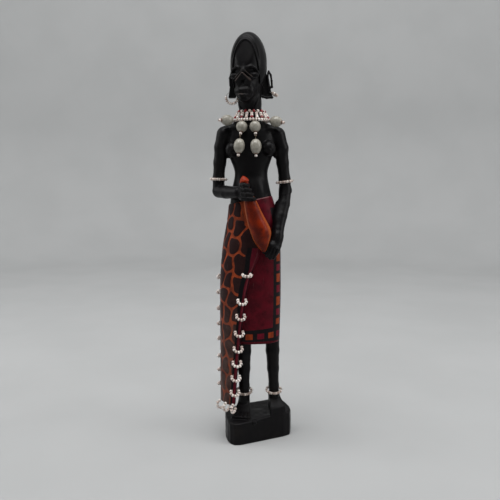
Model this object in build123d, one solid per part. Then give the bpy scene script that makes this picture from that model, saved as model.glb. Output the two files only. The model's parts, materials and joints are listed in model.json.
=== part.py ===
from build123d import *
import math
import os

# Carved standing woman with bead work.
# Frame: origin on the plinth's underside, +Z up, the figure looks along -Y.
# "right" and "left" are the figure's own sides: right is -X, left is +X.

# ---- driving dimensions, mm ----
HEAD_TOP = 400.0
HEM_Z = 99.5
SHAWL_BOTTOM_Z = 37.5
WAIST_Z = 241.5
WAIST_TILT = 11.0            # the waist line rises towards the figure's left, degrees
SHAWL_THICKNESS = 5.0
SHAWL_REAR_Y = 11.0
HEAD_TURN = 15.0             # the face looks towards the figure's right, degrees
RIGHT_EAR_HOLE = (-24.4, 0.8, 344.0)
LEFT_EAR_HOLE = (12.6, 6.1, 345.0)

BEAD_RADIUS = 1.45           # large glass bead
BEAD_LENGTH = 2.1
SMALL_BEAD_RADIUS = 1.05     # small glass bead
SMALL_BEAD_LENGTH = 1.5
BEAD_HOLE = 0.42
WIRE_RADIUS = 0.2
COLUMN_WIRE = 0.16           # finer wire of the collar's bead columns
HOLE_CLEARANCE = 0.06

LOOP_RADIUS = 4.1            # bead loops along the shawl's edges
LOOP_REACH = 2.8             # from the shawl's corner to each mouth of a loop's hole
LOOP_BEADS = 7
LOOP_PITCH = 37.6            # degrees from bead to bead
FRONT_LOOP_DROOP = [10.0, 40.0, 43.0, 37.0, 40.0, 42.0, 38.0, 40.0]   # resting angles below level, degrees
REAR_LOOP_DROOP = 40.0
RING_TAIL = 2.4              # twisted wire end that stands out of an armlet or anklet
RING_GAP = 16.0              # bare wire beside that end, degrees

# ---- outlines of the body: (z, x_right, x_left, y_front, y_back) ----
SKIRT_SECTIONS = [
    (HEM_Z, -32.0, 23.0, -17.0, 22.0),
    (150.0, -32.0, 24.0, -18.5, 24.0),
    (172.0, -31.3, 23.8, -19.0, 25.0),
    (198.0, -28.7, 23.2, -19.0, 25.0),
    (222.0, -24.5, 21.0, -17.0, 20.0),
    (252.0, -21.5, 12.5, -14.0, 16.0),
]
TORSO_SECTIONS = [
    (232.0, -23.5, 13.5, -14.0, 16.0),
    (255.0, -23.0, 11.2, -12.5, 15.0),
    (268.0, -22.0, 10.2, -12.0, 14.0),
    (283.0, -27.5, 15.0, -13.5, 15.0),
    (297.0, -30.0, 18.0, -14.5, 15.0),
    (307.0, -28.0, 16.0, -11.0, 13.5),
    (316.0, -20.0, 5.0, -7.5, 12.0),
]

RIGHT_EAR_SECTIONS = [
    (338.5, -27.7, -21.1, -1.5, 3.0), (350.0, -26.8, -20.5, -1.5, 4.0), (363.0, -24.5, -18.0, -1.0, 5.0),
]
LEFT_EAR_SECTIONS = [
    (338.5, 4.9, 15.6, 3.8, 8.4), (350.0, 6.3, 13.8, 3.5, 8.5), (364.0, 5.0, 10.6, 2.5, 8.5),
]

# the shawl's free front edge where it meets the skirt, seen from the front: (x, z)
EDGE_Y = -18.0
FRONT_EDGE = [
    (-12.0, 262.0), (-6.0, 240.0), (-1.0, 222.0), (3.0, 205.0), (2.5, 186.0), (-5.0, 171.5),
    (-10.0, 155.0), (-12.3, 138.0), (-14.5, 122.0), (-17.0, 103.0), (-20.0, 75.0), (-24.0, 30.0),
]
FRONT_LOOP_Z = [171.0, 147.0, 132.0, 115.0, 99.5, 85.0, 70.0, 55.0]
REAR_LOOP_Z = [166.3, 150.5, 134.0, 118.0, 102.5, 84.0, 69.5, 54.5]
BOTTOM_LOOP_ANGLES = [-160.0, -140.0, -124.0]

# ---- limbs: (x, y, z, radius) from the trunk outwards ----
RIGHT_ARM = [
    (-31.5, 2.0, 305.0, 8.5), (-37.3, 2.0, 277.0, 5.7), (-38.0, 2.0, 250.0, 5.9),
    (-18.0, -22.5, 249.0, 4.7),
]
LEFT_ARM = [
    (20.0, 2.0, 304.0, 8.4), (24.8, 2.5, 277.0, 5.7), (27.6, 3.0, 251.0, 5.9),
    (23.2, -8.0, 226.0, 5.7), (17.0, -19.0, 202.0, 5.0),
]
RIGHT_HAND = (-10.6, -27.8, 249.5, 7.8)
LEFT_HAND = (12.4, -23.0, 192.5, 8.0)
RIGHT_LEG = [
    (-13.4, 2.0, HEM_Z, 7.8), (-13.0, 2.5, 70.0, 6.0), (-12.8, 3.0, 50.0, 5.1), (-13.0, 3.0, 28.0, 6.0),
]
LEFT_LEG = [(15.6, 6.0, HEM_Z, 7.0), (16.5, 6.5, 69.0, 5.8), (17.4, 7.0, 48.0, 4.9), (18.0, 7.0, 28.0, 5.8)]

NECK_AXIS = (-6.2, 2.8)
NECK_RADIUS = 10.2

# ---- collar, turning about an upright axis ----
COLLAR_AXIS = (-5.5, 2.5)
COLLAR_TOP = (12.9, 325.5)   # (radius, z) of the upper wire
COLLAR_FOOT = (17.8, 317.2)  # (radius, z) of the lower wire
COLLAR_COLUMNS = 20
COLLAR_START = -107.5        # angle of one column; the others follow evenly
EYE_RADIUS = 0.66            # wire eyes that link the hanging seeds
EYE_WIRE = 0.25
EYE_TWIST = 0.36
EYE_PLAY = 0.06

# hanging seeds: name, angle on the collar, upper seed centre, lower seed centre
PENDANTS = [
    ("right", -116.5, (-13.6, -16.6, 310.0), (-15.6, -21.6, 291.8)),
    ("left", -80.5, (-2.3, -17.4, 310.0), (-3.0, -21.4, 291.4)),
]
UPPER_SEED = (5.4, 5.2, 5.4)
LOWER_SEED = (5.4, 5.2, 7.2)
# shoulder seeds: name, angle on the collar, centre
SHOULDER_SEEDS = [
    ("right", -152.5, (-28.8, -9.8, 316.8)),
    ("left", -26.5, (18.4, -8.4, 315.6)),
]
SHOULDER_SEED = (5.2, 5.2, 6.4)

PLINTH_OUTLINE = [
    (-32.5, 6.0), (-29.5, -14.0), (-22.0, -25.0), (-8.0, -20.0), (14.0, -9.5), (34.0, 1.0),
    (35.0, 12.0), (28.0, 25.0), (12.0, 29.0), (-10.0, 22.0), (-26.0, 13.0),
]
PLINTH_FRONT_HEIGHT = 22.0
PLINTH_RISE = 6.5            # the carved top climbs towards the back, degrees


EDGE_SLANT = Vector(1, 1, 0).normalized()   # the front edge's face runs inwards along this


# ---- shape helpers ----
def ellipsoid(centre, radii, turn=0.0, tilt=0.0):
    """A stretched sphere, tilted about X and then turned about Z."""
    ball = scale(Sphere(1.0), by=radii)
    return Pos(*centre) * Rot(0, 0, turn) * Rot(tilt, 0, 0) * ball


def section_loft(sections, grow=0.0):
    """A smooth body through level elliptical sections."""
    faces = []
    for z, x0, x1, y0, y1 in sections:
        faces.append(
            Pos((x0 + x1) / 2, (y0 + y1) / 2, z) * Ellipse((x1 - x0) / 2 + grow, (y1 - y0) / 2 + grow)
        )
    return loft(faces)


def limb(stations):
    """Tapered round limb with a ball at each station."""
    body = None
    for (xa, ya, za, ra), (xb, yb, zb, rb) in zip(stations, stations[1:]):
        start, end = Vector(xa, ya, za), Vector(xb, yb, zb)
        base = Plane(origin=start, z_dir=end - start)
        bone = base * Cone(ra, rb, (end - start).length, align=(Align.CENTER, Align.CENTER, Align.MIN))
        piece = bone + Pos(*end) * Sphere(rb)
        body = piece if body is None else body + piece
    x, y, z, r = stations[0]
    return body + Pos(x, y, z) * Sphere(r)


def ring_wire(frame, radius, start=0.0, sweep=360.0, thickness=WIRE_RADIUS):
    """Round wire bent to an arc in the frame's XY plane."""
    profile = Plane(origin=(radius, 0, 0), z_dir=(0, 1, 0)) * Circle(thickness)
    bent = revolve(profile, axis=Axis.Z, revolution_arc=sweep)
    return frame * Rot(0, 0, start) * bent


def bead(radius, length):
    """One glass bead with its hole along Z."""
    body = Sphere(radius) & Box(3 * radius, 3 * radius, length)
    return body - Cylinder(BEAD_HOLE, 2 * length)


LARGE_BEAD = bead(BEAD_RADIUS, BEAD_LENGTH)
SMALL_BEAD = bead(SMALL_BEAD_RADIUS, SMALL_BEAD_LENGTH)


def place(shape, point, direction):
    """Put a shape at a point, its Z along a direction."""
    return Plane(origin=point, z_dir=direction) * shape


def beads_on_arc(frame, radius, shape, angles):
    """Copies of a bead threaded on an arc of the frame's XY plane."""
    placed = []
    for angle in angles:
        a = math.radians(angle)
        out, tangent = (math.cos(a), math.sin(a)), (-math.sin(a), math.cos(a), 0)
        spot = Plane(origin=(radius * out[0], radius * out[1], 0), z_dir=tangent)
        placed.append(frame * spot * shape)
    return placed


def write(name, pieces):
    """Write one node; a list of pieces stays a group of separate solids."""
    solids = pieces.solids() if not isinstance(pieces, list) else [s for p in pieces for s in p.solids()]
    shape = solids[0] if len(solids) == 1 else Compound(children=list(solids))
    shape.label = name
    export_step(shape, f"parts/{name}.step")
    return shape


# ---- carved wood ----
def waist_plane():
    return Plane(origin=(-5.0, 0, WAIST_Z), z_dir=Vector(0, 0, 1).rotate(Axis.Y, -WAIST_TILT))


def below_waist(body):
    return split(body, bisect_by=waist_plane(), keep=Keep.BOTTOM)


def above_waist(body):
    return split(body, bisect_by=waist_plane(), keep=Keep.TOP)


def make_gourd():
    """Long-necked calabash with a turned stopper, held in front of the belly."""
    top, foot = Vector(-13.6, -27.5, 264.0), Vector(6.4, -27.5, 192.5)
    outline = Spline(
        (3.0, 6.0), (3.2, 15.0), (6.6, 24.0), (8.3, 35.0), (8.9, 48.0), (8.4, 60.0), (5.6, 70.0), (0, 74.2),
        tangents=((0.0, 1.0), (-1.0, 0.0)),
    )
    stopper = Polyline((0, 0), (1.6, 0.3), (4.4, 4.6), (3.0, 6.0))
    side = make_face(Curve() + [stopper, outline, Line((0, 74.2), (0, 0))])
    body = revolve(Plane.XZ * side, axis=Axis.Z)
    return Plane(origin=top, z_dir=foot - top) * body


def make_head(earrings):
    """Tall dome, jaw, nose, lips and two long ear flaps, each drilled for its earring."""
    x, y = -8.3, 1.5
    head = ellipsoid((x, y, 371.5), (17.0, 20.5, HEAD_TOP - 371.5), -HEAD_TURN)
    head += ellipsoid((x - 1.2, y - 5.0, 352.0), (13.6, 15.0, 16.5), -HEAD_TURN)
    head += ellipsoid((x - 5.3, y - 19.0, 354.0), (3.4, 4.2, 6.5), -HEAD_TURN)
    head += ellipsoid((x - 4.6, y - 16.0, 343.0), (6.2, 6.5, 5.5), -HEAD_TURN)
    head += section_loft(RIGHT_EAR_SECTIONS) - earrings["right"]["drill"]
    head += section_loft(LEFT_EAR_SECTIONS) - earrings["left"]["drill"]
    return head


def make_upper_figure(gourd, earrings):
    """Bare trunk, arms and head, down to the waist line."""
    torso = above_waist(section_loft(TORSO_SECTIONS))
    upward = (Align.CENTER, Align.CENTER, Align.MIN)
    neck = Pos(*NECK_AXIS, 306.0) * Cylinder(NECK_RADIUS, 34.0, align=upward)
    body = torso + neck + make_head(earrings)
    body += ellipsoid((-24.0, -10.5, 289.0), (5.0, 5.5, 6.5))
    body += ellipsoid((10.5, -10.5, 290.0), (5.0, 5.5, 6.5))
    body += limb(RIGHT_ARM)
    body += limb(LEFT_ARM)
    body += Pos(*RIGHT_HAND[:3]) * Sphere(RIGHT_HAND[3])
    body += Pos(*LEFT_HAND[:3]) * Sphere(LEFT_HAND[3])
    return body - gourd


def make_lower_body():
    """Plinth, feet and bare legs up to the hem."""
    outline = Polyline(*PLINTH_OUTLINE, close=True)
    block = extrude(fillet(make_face(outline).vertices(), 3.0), 40.0)
    tilted = Vector(0, 0, 1).rotate(Axis.X, PLINTH_RISE)
    carved = Plane(origin=(0, -20.0, PLINTH_FRONT_HEIGHT), z_dir=tilted)
    body = split(block, bisect_by=carved, keep=Keep.BOTTOM)
    below_hem = Box(200, 200, HEM_Z, align=(Align.CENTER, Align.CENTER, Align.MIN))
    for leg, toe_x, toe_y in ((RIGHT_LEG, -15.5, -5.5), (LEFT_LEG, 20.5, 5.5)):
        tall = [(leg[0][0], leg[0][1], HEM_Z + 12.0, leg[0][3] + 0.4)] + leg[1:]
        splay = -10.0 if toe_x < 0 else 18.0
        body += limb(tall) & below_hem
        body += ellipsoid((toe_x, toe_y, 28.0), (9.0, 13.5, 7.0), splay, 12.0)
    return body


def shawl_cut():
    """Prism that keeps the shawl's side of its free front edge."""
    points = FRONT_EDGE + [(-80.0, 30.0), (-80.0, 262.0)]
    side = make_face(Polyline(*[Vector(x - 20.0, EDGE_Y - 20.0, z) for x, z in points], close=True))
    return extrude(side, 110.0, dir=EDGE_SLANT)


def make_shawl_and_skirt(upper, gourd):
    x0, x1, y0, y1 = SKIRT_SECTIONS[0][1:]
    skirt = section_loft(SKIRT_SECTIONS)
    outer = section_loft(SKIRT_SECTIONS, SHAWL_THICKNESS)
    centre, half = ((x0 + x1) / 2, (y0 + y1) / 2), ((x1 - x0) / 2, (y1 - y0) / 2)
    drop_out = extrude(Pos(*centre, HEM_Z) * Ellipse(half[0] + SHAWL_THICKNESS, half[1] + SHAWL_THICKNESS),
                       SHAWL_BOTTOM_Z - HEM_Z)
    drop_in = extrude(Pos(*centre, HEM_Z) * Ellipse(*half), SHAWL_BOTTOM_Z - HEM_Z - 1.0)
    rear = Pos(-90.0, SHAWL_REAR_Y - 100.0, 150.0) * Box(200, 200, 400)
    keep = shawl_cut() & rear
    upper_band = (outer - skirt) & keep
    lower_band = (drop_out - drop_in) & keep
    shawl = below_waist(upper_band + lower_band) - gourd - upper
    skirt = below_waist(skirt) - gourd - upper
    return shawl, skirt


# ---- wire and beads ----
def threaded_ring(start, end, outward, radius, shape, count, pitch):
    """A round bead ring whose wire passes through a straight hole from start to end.

    The wire bows inside the hole, which is wide enough for the ring to swing about its axis."""
    along = (end - start).normalized()
    middle = (start + end) * 0.5
    bow = radius - math.sqrt(radius**2 - ((end - start).length / 2) ** 2)
    out = (outward - along * outward.dot(along)).normalized()
    centre = middle + out * (radius - bow / 2)
    frame = Plane(origin=centre, x_dir=out, z_dir=out.cross(along))
    angles = [(i - (count - 1) / 2) * pitch for i in range(count)]
    drill = Plane(origin=middle, z_dir=along) * Cylinder(
        bow / 2 + WIRE_RADIUS + HOLE_CLEARANCE, (end - start).length + 2.5
    )
    return {
        "wire": frame * Torus(radius, WIRE_RADIUS), "beads": beads_on_arc(frame, radius, shape, angles),
        "drill": drill, "pos": middle, "axis": along, "out": out,
    }


def section_at(z):
    """Centre and half sizes of the skirt's section at a height."""
    rows = sorted([(SHAWL_BOTTOM_Z,) + SKIRT_SECTIONS[0][1:]] + SKIRT_SECTIONS)
    for low, high in zip(rows, rows[1:]):
        if low[0] <= z <= high[0]:
            t = (z - low[0]) / (high[0] - low[0])
            x0, x1, y0, y1 = (a + (b - a) * t for a, b in zip(low[1:], high[1:]))
            return (x0 + x1) / 2, (y0 + y1) / 2, (x1 - x0) / 2, (y1 - y0) / 2
    raise ValueError(z)


def edge_x(z):
    """X of the shawl's front edge at a height, where it meets the skirt."""
    for (xa, za), (xb, zb) in zip(FRONT_EDGE, FRONT_EDGE[1:]):
        if zb <= z <= za:
            return xa + (xb - xa) * (za - z) / (za - zb)
    raise ValueError(z)


def drooped(out, along, angle):
    """Turn a level direction about a level axis until it points down by an angle."""
    a = math.radians(angle)
    return out * math.cos(a) - Vector(0, 0, 1) * math.sin(a)


def shawl_loop(corner, along_face, along_edge, droop):
    """Bead loop through a hole drilled across a corner of the shawl."""
    start, end = corner + along_face * LOOP_REACH, corner + along_edge * LOOP_REACH
    across = (end - start).normalized()
    out = corner - (start + end) * 0.5
    if droop:
        out = drooped(out.normalized(), across, droop)
    return threaded_ring(start, end, out, LOOP_RADIUS, LARGE_BEAD, LOOP_BEADS, LOOP_PITCH)


def outer_slope(z, x, y):
    """Unit tangent of the shawl's outer section, running towards the front edge."""
    cx, cy, a, b = section_at(z)
    nx, ny = (x - cx) / (a + SHAWL_THICKNESS) ** 2, (y - cy) / (b + SHAWL_THICKNESS) ** 2
    return Vector(-ny, nx, 0).normalized()


def make_loops():
    loops = {}
    for i, z in enumerate(FRONT_LOOP_Z):
        cx, cy, a, b = section_at(z)
        a, b = a + SHAWL_THICKNESS, b + SHAWL_THICKNESS
        # where the slanted edge face crosses the outer ellipse, in front
        x, y = edge_x(z) - cx, EDGE_Y - cy
        qa, qb, qc = 1 / a**2 + 1 / b**2, 2 * (x / a**2 + y / b**2), x * x / a**2 + y * y / b**2 - 1
        t = (-qb - math.sqrt(qb * qb - 4 * qa * qc)) / (2 * qa)
        corner = Vector(x + t + cx, y + t + cy, z)
        loops[f"shawl_front_loop_{i + 1}"] = shawl_loop(
            corner, -outer_slope(z, corner.X, corner.Y), EDGE_SLANT, FRONT_LOOP_DROOP[i]
        )
    for i, z in enumerate(REAR_LOOP_Z):
        cx, cy, a, b = section_at(z)
        a, b = a + SHAWL_THICKNESS, b + SHAWL_THICKNESS
        x = cx - a * math.sqrt(1 - ((SHAWL_REAR_Y - cy) / b) ** 2)
        loops[f"shawl_rear_loop_{i + 1}"] = shawl_loop(
            Vector(x, SHAWL_REAR_Y, z), outer_slope(z, x, SHAWL_REAR_Y), Vector(1, 0, 0), REAR_LOOP_DROOP
        )
    cx, cy, a, b = section_at(SHAWL_BOTTOM_Z)
    a, b = a + SHAWL_THICKNESS, b + SHAWL_THICKNESS
    for i, angle in enumerate(BOTTOM_LOOP_ANGLES):
        c, s = math.cos(math.radians(angle)), math.sin(math.radians(angle))
        corner = Vector(cx + a * c, cy + b * s, SHAWL_BOTTOM_Z)
        inward = Vector(-c / a, -s / b, 0).normalized()
        loops[f"shawl_bottom_loop_{i + 1}"] = shawl_loop(corner, Vector(0, 0, 1), inward, 0.0)
    return loops


def make_earrings():
    """Small bead rings through the ear flaps."""
    x, y, z = RIGHT_EAR_HOLE
    right = threaded_ring(
        Vector(x - 3.1, y, z), Vector(x + 3.1, y, z), Vector(0, 0, -1), 5.6, SMALL_BEAD, 11, 19.2
    )
    x, y, z = LEFT_EAR_HOLE
    left = threaded_ring(
        Vector(x, y - 2.5, z), Vector(x, y + 2.5, z), Vector(1.0, 0, -0.5), 3.9, SMALL_BEAD, 9, 27.0
    )
    return {"right": right, "left": left}


def limb_ring(centre, normal, radius):
    """Closed wire ring round a limb, threaded with beads except where its ends are twisted together."""
    frame = Plane(origin=Vector(*centre), x_dir=(1, 0, 0), z_dir=Vector(*normal))
    wire = ring_wire(frame, radius)
    tail = Plane(origin=(radius, 0, 0), z_dir=(1, 0, 0.3)) * Cylinder(
        WIRE_RADIUS, RING_TAIL, align=(Align.CENTER, Align.CENTER, Align.MIN)
    )
    wire += frame * tail
    pitch = math.degrees(2 * math.atan(SMALL_BEAD_LENGTH / 2 / (radius - 0.75)))
    count = int((360.0 - RING_GAP) / pitch)
    angles = [180.0 + (i - (count - 1) / 2) * pitch for i in range(count)]
    beads = beads_on_arc(frame, radius, SMALL_BEAD, angles)
    return {"wire": wire, "beads": beads, "pos": centre, "axis": normal}


# limb rings: name, centre, axis, wire radius
LIMB_RINGS = [
    ("right_armlet", (-37.7, 2.0, 261.0), (0.03, 0.0, 1.0), 7.3),
    ("left_armlet", (26.8, 2.85, 258.6), (-0.13, -0.02, 1.0), 7.3),
    ("right_anklet", (-12.9, 3.0, 46.5), (0.0, -0.22, 1.0), 7.4),
    ("left_anklet", (17.5, 7.0, 46.0), (0.0, -0.22, 1.0), 7.4),
]


def seed(radii):
    """Hard grey seed drilled along Z."""
    return scale(Sphere(1.0), by=radii) - Cylinder(BEAD_HOLE, 3 * radii[2])


def eye(centre, normal, towards):
    """Small closed eye of doubled wire, with the twist that closes it on the side of its stem."""
    eye_plane = Plane(origin=centre, x_dir=normal.cross(towards), z_dir=normal)
    ring = ring_wire(eye_plane, EYE_RADIUS, thickness=EYE_WIRE)
    return ring + Pos(*(centre + towards * (EYE_RADIUS + 0.1))) * Sphere(EYE_TWIST)


def collar_frame(angle, row):
    """Point, outward direction and tangent on one of the collar's wires."""
    a = math.radians(angle)
    out, tangent = Vector(math.cos(a), math.sin(a), 0), Vector(-math.sin(a), math.cos(a), 0)
    return Vector(COLLAR_AXIS[0], COLLAR_AXIS[1], row[1]) + out * row[0], out, tangent


def make_collar():
    """Two wire rings joined by short bead columns: white beads, red beads, wire."""
    wire, white, red = None, [], []
    for radius, z in (COLLAR_TOP, COLLAR_FOOT):
        ring = ring_wire(Plane(origin=(COLLAR_AXIS[0], COLLAR_AXIS[1], z)), radius)
        wire = ring if wire is None else wire + ring
    sector = 360.0 / COLLAR_COLUMNS
    spread = math.degrees(1.43 / COLLAR_FOOT[0])
    for i in range(COLLAR_COLUMNS):
        angle = COLLAR_START + i * sector
        top, foot = collar_frame(angle, COLLAR_TOP)[0], collar_frame(angle, COLLAR_FOOT)[0]
        down = (foot - top).normalized()
        length = (foot - top).length
        wire += Plane(origin=top, z_dir=down) * Cylinder(
            COLUMN_WIRE, length, align=(Align.CENTER, Align.CENTER, Align.MIN)
        )
        for step in (-1, 0, 1):
            spot = (top + foot) * 0.5 + down * step * (BEAD_LENGTH + 0.03)
            (red if step == 1 and i % 2 else white).append(place(LARGE_BEAD, spot, down))
        point, _, tangent = collar_frame(angle + sector / 2, COLLAR_TOP)
        (red if i % 2 else white).append(place(LARGE_BEAD, point, tangent))
        for side in (-1, 1):
            point, _, tangent = collar_frame(angle + sector / 2 + side * spread, COLLAR_FOOT)
            white.append(place(LARGE_BEAD, point, tangent))
    return wire, white, red


def seed_string(pivot, pivot_axis, seed_at, radii, beads_after, ends_in_eye=False):
    """A wire eye hung on a pivot, a straight stem, one seed and small beads beyond it."""
    lean = seed_at - pivot
    lean = lean - pivot_axis * lean.dot(pivot_axis)
    along, reach = lean.normalized(), lean.length
    hook = pivot + along * (EYE_RADIUS - 2 * EYE_WIRE - EYE_PLAY)
    end = pivot + along * (reach + beads_after[-1] + BEAD_LENGTH / 2 + 0.3)
    stem_from = hook + along * EYE_RADIUS
    wire = eye(hook, pivot_axis, along) + Plane(origin=stem_from, z_dir=along) * Cylinder(
        WIRE_RADIUS, (end - stem_from).length, align=(Align.CENTER, Align.CENTER, Align.MIN)
    )
    parts = {"along": along, "pos": pivot, "axis": pivot_axis}
    if ends_in_eye:
        eye_normal = pivot_axis.cross(along)
        wire += eye(end + along * EYE_RADIUS, eye_normal, -along)
        parts["next_pivot"] = end + along * 2 * EYE_RADIUS
        parts["next_axis"] = pivot_axis
    else:
        wire += Pos(*end) * Sphere(0.5)
    centre = pivot + along * reach
    parts["wire"] = wire
    parts["seed"] = place(seed(radii), centre, along)
    parts["beads"] = [place(LARGE_BEAD, centre + along * step, along) for step in beads_after]
    return parts


def make_strings():
    """Everything that hangs from the collar, by body name."""
    strings = {}
    for name, angle, upper_at, lower_at in PENDANTS:
        pivot, _, tangent = collar_frame(angle, COLLAR_FOOT)
        upper = seed_string(pivot, tangent, Vector(*upper_at), UPPER_SEED, [UPPER_SEED[2] + 1.15], True)
        lower_bead = [LOWER_SEED[2] + 1.15]
        lower = seed_string(upper["next_pivot"], tangent, Vector(*lower_at), LOWER_SEED, lower_bead)
        strings[f"{name}_upper_pendant"] = upper
        strings[f"{name}_lower_pendant"] = lower
    for name, angle, centre in SHOULDER_SEEDS:
        pivot, _, tangent = collar_frame(angle, COLLAR_FOOT)
        strings[f"{name}_shoulder_seed"] = seed_string(
            pivot, tangent, Vector(*centre), SHOULDER_SEED, [SHOULDER_SEED[2] + 1.15]
        )
    return strings


# ---- the whole object ----
def make_nodes():
    """Every node by name, and every hinge by body name."""
    gourd = make_gourd()
    earrings = make_earrings()
    upper = make_upper_figure(gourd, earrings)
    shawl, skirt = make_shawl_and_skirt(upper, gourd)
    loops = make_loops()
    for loop in loops.values():
        shawl -= loop["drill"]
    shawl = max(shawl.solids(), key=lambda solid: solid.volume)
    nodes = {
        "upper_figure": upper,
        "plinth_and_legs": make_lower_body(),
        "skirt_wrap": skirt,
        "giraffe_shawl": shawl,
        "gourd": gourd,
    }
    for name, loop in loops.items():
        nodes[name] = [loop["wire"]] + loop["beads"]
    for side, ring in earrings.items():
        nodes[f"{side}_earring_wire"] = ring["wire"]
        nodes[f"{side}_earring_beads"] = ring["beads"]
    for name, centre, axis, radius in LIMB_RINGS:
        ring = limb_ring(centre, axis, radius)
        nodes[f"{name}_wire"] = ring["wire"]
        nodes[f"{name}_beads"] = ring["beads"]
    nodes["collar_wire"], nodes["collar_white_beads"], nodes["collar_red_beads"] = make_collar()
    strings = make_strings()
    for name, string in strings.items():
        nodes[f"{name}_wire"] = string["wire"]
        nodes[f"{name}_nut"] = string["seed"]
        nodes[f"{name}_beads"] = string["beads"]
    return nodes, {**loops, **earrings, **strings}


NODES, HINGES = make_nodes()
os.makedirs("parts", exist_ok=True)
for node_name, node_pieces in NODES.items():
    write(node_name, node_pieces)
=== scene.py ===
import json
import math
import bpy
import numpy as np
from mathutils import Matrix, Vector


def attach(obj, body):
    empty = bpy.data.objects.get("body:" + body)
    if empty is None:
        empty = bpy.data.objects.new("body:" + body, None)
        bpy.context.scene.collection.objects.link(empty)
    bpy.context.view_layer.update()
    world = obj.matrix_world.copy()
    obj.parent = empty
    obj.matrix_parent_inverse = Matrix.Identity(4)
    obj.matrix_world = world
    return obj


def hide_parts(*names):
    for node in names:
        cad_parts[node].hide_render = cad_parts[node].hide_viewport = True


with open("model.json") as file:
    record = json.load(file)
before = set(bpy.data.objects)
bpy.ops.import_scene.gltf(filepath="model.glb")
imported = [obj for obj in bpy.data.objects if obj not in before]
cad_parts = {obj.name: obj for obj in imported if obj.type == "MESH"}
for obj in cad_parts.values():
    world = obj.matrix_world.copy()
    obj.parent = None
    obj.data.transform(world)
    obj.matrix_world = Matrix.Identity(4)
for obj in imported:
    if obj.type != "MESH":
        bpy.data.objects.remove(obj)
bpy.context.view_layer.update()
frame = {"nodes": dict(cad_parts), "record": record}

# The figure is carved as distance fields in millimetres, in the frame's own axes,
# and each field is meshed and scaled to metres.
MM = 0.001
STEP_SCALE = 1.0
FAR = 50.0              # distance in an empty block
JUST_OUTSIDE = 0.01     # distance on a block's faces, which closes every mesh

BODIES = frame["record"]["behaviour"]["bodies"]
BODY_OF = {node: body for body, nodes in BODIES.items() for node in nodes}


# ---- distance fields
def smooth_min(a, b, k):
    if k <= 0:
        return np.minimum(a, b)
    h = np.maximum(k - np.abs(a - b), 0.0) / k
    return np.minimum(a, b) - h * h * (k / 4)


def smooth_max(a, b, k):
    return -smooth_min(-a, -b, k)


def smooth_step(lo, hi, v):
    t = np.clip((v - lo) / (hi - lo), 0.0, 1.0)
    return t * t * (3 - 2 * t)


def ellipsoid(p, centre, radii):
    x, y, z = (p[i] - centre[i] for i in range(3))
    a, b, c = radii
    k0 = np.sqrt((x / a) ** 2 + (y / b) ** 2 + (z / c) ** 2)
    k1 = np.sqrt((x / a**2) ** 2 + (y / b**2) ** 2 + (z / c**2) ** 2)
    return k0 * (k0 - 1) / np.maximum(k1, 1e-6)


def capsule(p, a, b, ra, rb):
    ax, ay, az = a
    d = [b[i] - a[i] for i in range(3)]
    x, y, z = p[0] - ax, p[1] - ay, p[2] - az
    t = np.clip((x * d[0] + y * d[1] + z * d[2]) / (d[0] ** 2 + d[1] ** 2 + d[2] ** 2), 0, 1)
    return np.sqrt((x - t * d[0]) ** 2 + (y - t * d[1]) ** 2 + (z - t * d[2]) ** 2) - (ra + (rb - ra) * t)


def polygon(x, y, points):
    """Signed distance to a closed polygon in a plane."""
    best = np.full(np.broadcast(x, y).shape, 1e9, np.float32)
    inside = np.zeros(best.shape, bool)
    count = len(points)
    for i in range(count):
        (xa, ya), (xb, yb) = points[i], points[(i + 1) % count]
        ex, ey = xb - xa, yb - ya
        t = np.clip(((x - xa) * ex + (y - ya) * ey) / (ex * ex + ey * ey), 0, 1)
        best = np.minimum(best, (x - xa - t * ex) ** 2 + (y - ya - t * ey) ** 2)
        if ya != yb:
            crossing = (ya > y) != (yb > y)
            inside ^= crossing & (x < xa + (y - ya) * ex / ey)
    return np.where(inside, -1.0, 1.0) * np.sqrt(best)


def curve_rows(rows, z):
    """Smooth values along z through rows (z, ...), as one array per column."""
    rows = np.array(sorted(rows), float)
    knots = rows[:, 0]
    slopes = np.gradient(rows, knots, axis=0)
    z = np.clip(z, knots[0], knots[-1])
    i = np.clip(np.searchsorted(knots, z) - 1, 0, len(knots) - 2)
    h = knots[i + 1] - knots[i]
    t = (z - knots[i]) / h
    values = []
    for c in range(1, rows.shape[1]):
        p0, p1, m0, m1 = rows[i, c], rows[i + 1, c], slopes[i, c] * h, slopes[i + 1, c] * h
        values.append(
            (2 * t**3 - 3 * t**2 + 1) * p0 + (t**3 - 2 * t**2 + t) * m0
            + (-2 * t**3 + 3 * t**2) * p1 + (t**3 - t**2) * m1
        )
    return values


def sections(p, rows, grow=0.0):
    """Body through level elliptical sections (z, x0, x1, y0, y1)."""
    z = p[2]
    x0, x1, y0, y1 = (v.astype(np.float32) for v in curve_rows(rows, z))
    a, b = (x1 - x0) / 2 + grow, (y1 - y0) / 2 + grow
    x, y = p[0] - (x0 + x1) / 2, p[1] - (y0 + y1) / 2
    k0 = np.sqrt((x / a) ** 2 + (y / b) ** 2)
    k1 = np.sqrt((x / a**2) ** 2 + (y / b**2) ** 2)
    side = k0 * (k0 - 1) / np.maximum(k1, 1e-4)
    low, high = min(r[0] for r in rows), max(r[0] for r in rows)
    return np.maximum(side, np.maximum(low - z, z - high))


def hash_noise(ix, iy, iz, seed):
    n = (ix * 374761393 + iy * 668265263 + iz * 2147483647 + seed * 1274126177) & 0xFFFFFFFF
    n = ((n ^ (n >> 13)) * 1274126177) & 0xFFFFFFFF
    return ((n ^ (n >> 16)) & 0xFFFF) / 65535.0 * 2 - 1


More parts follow.
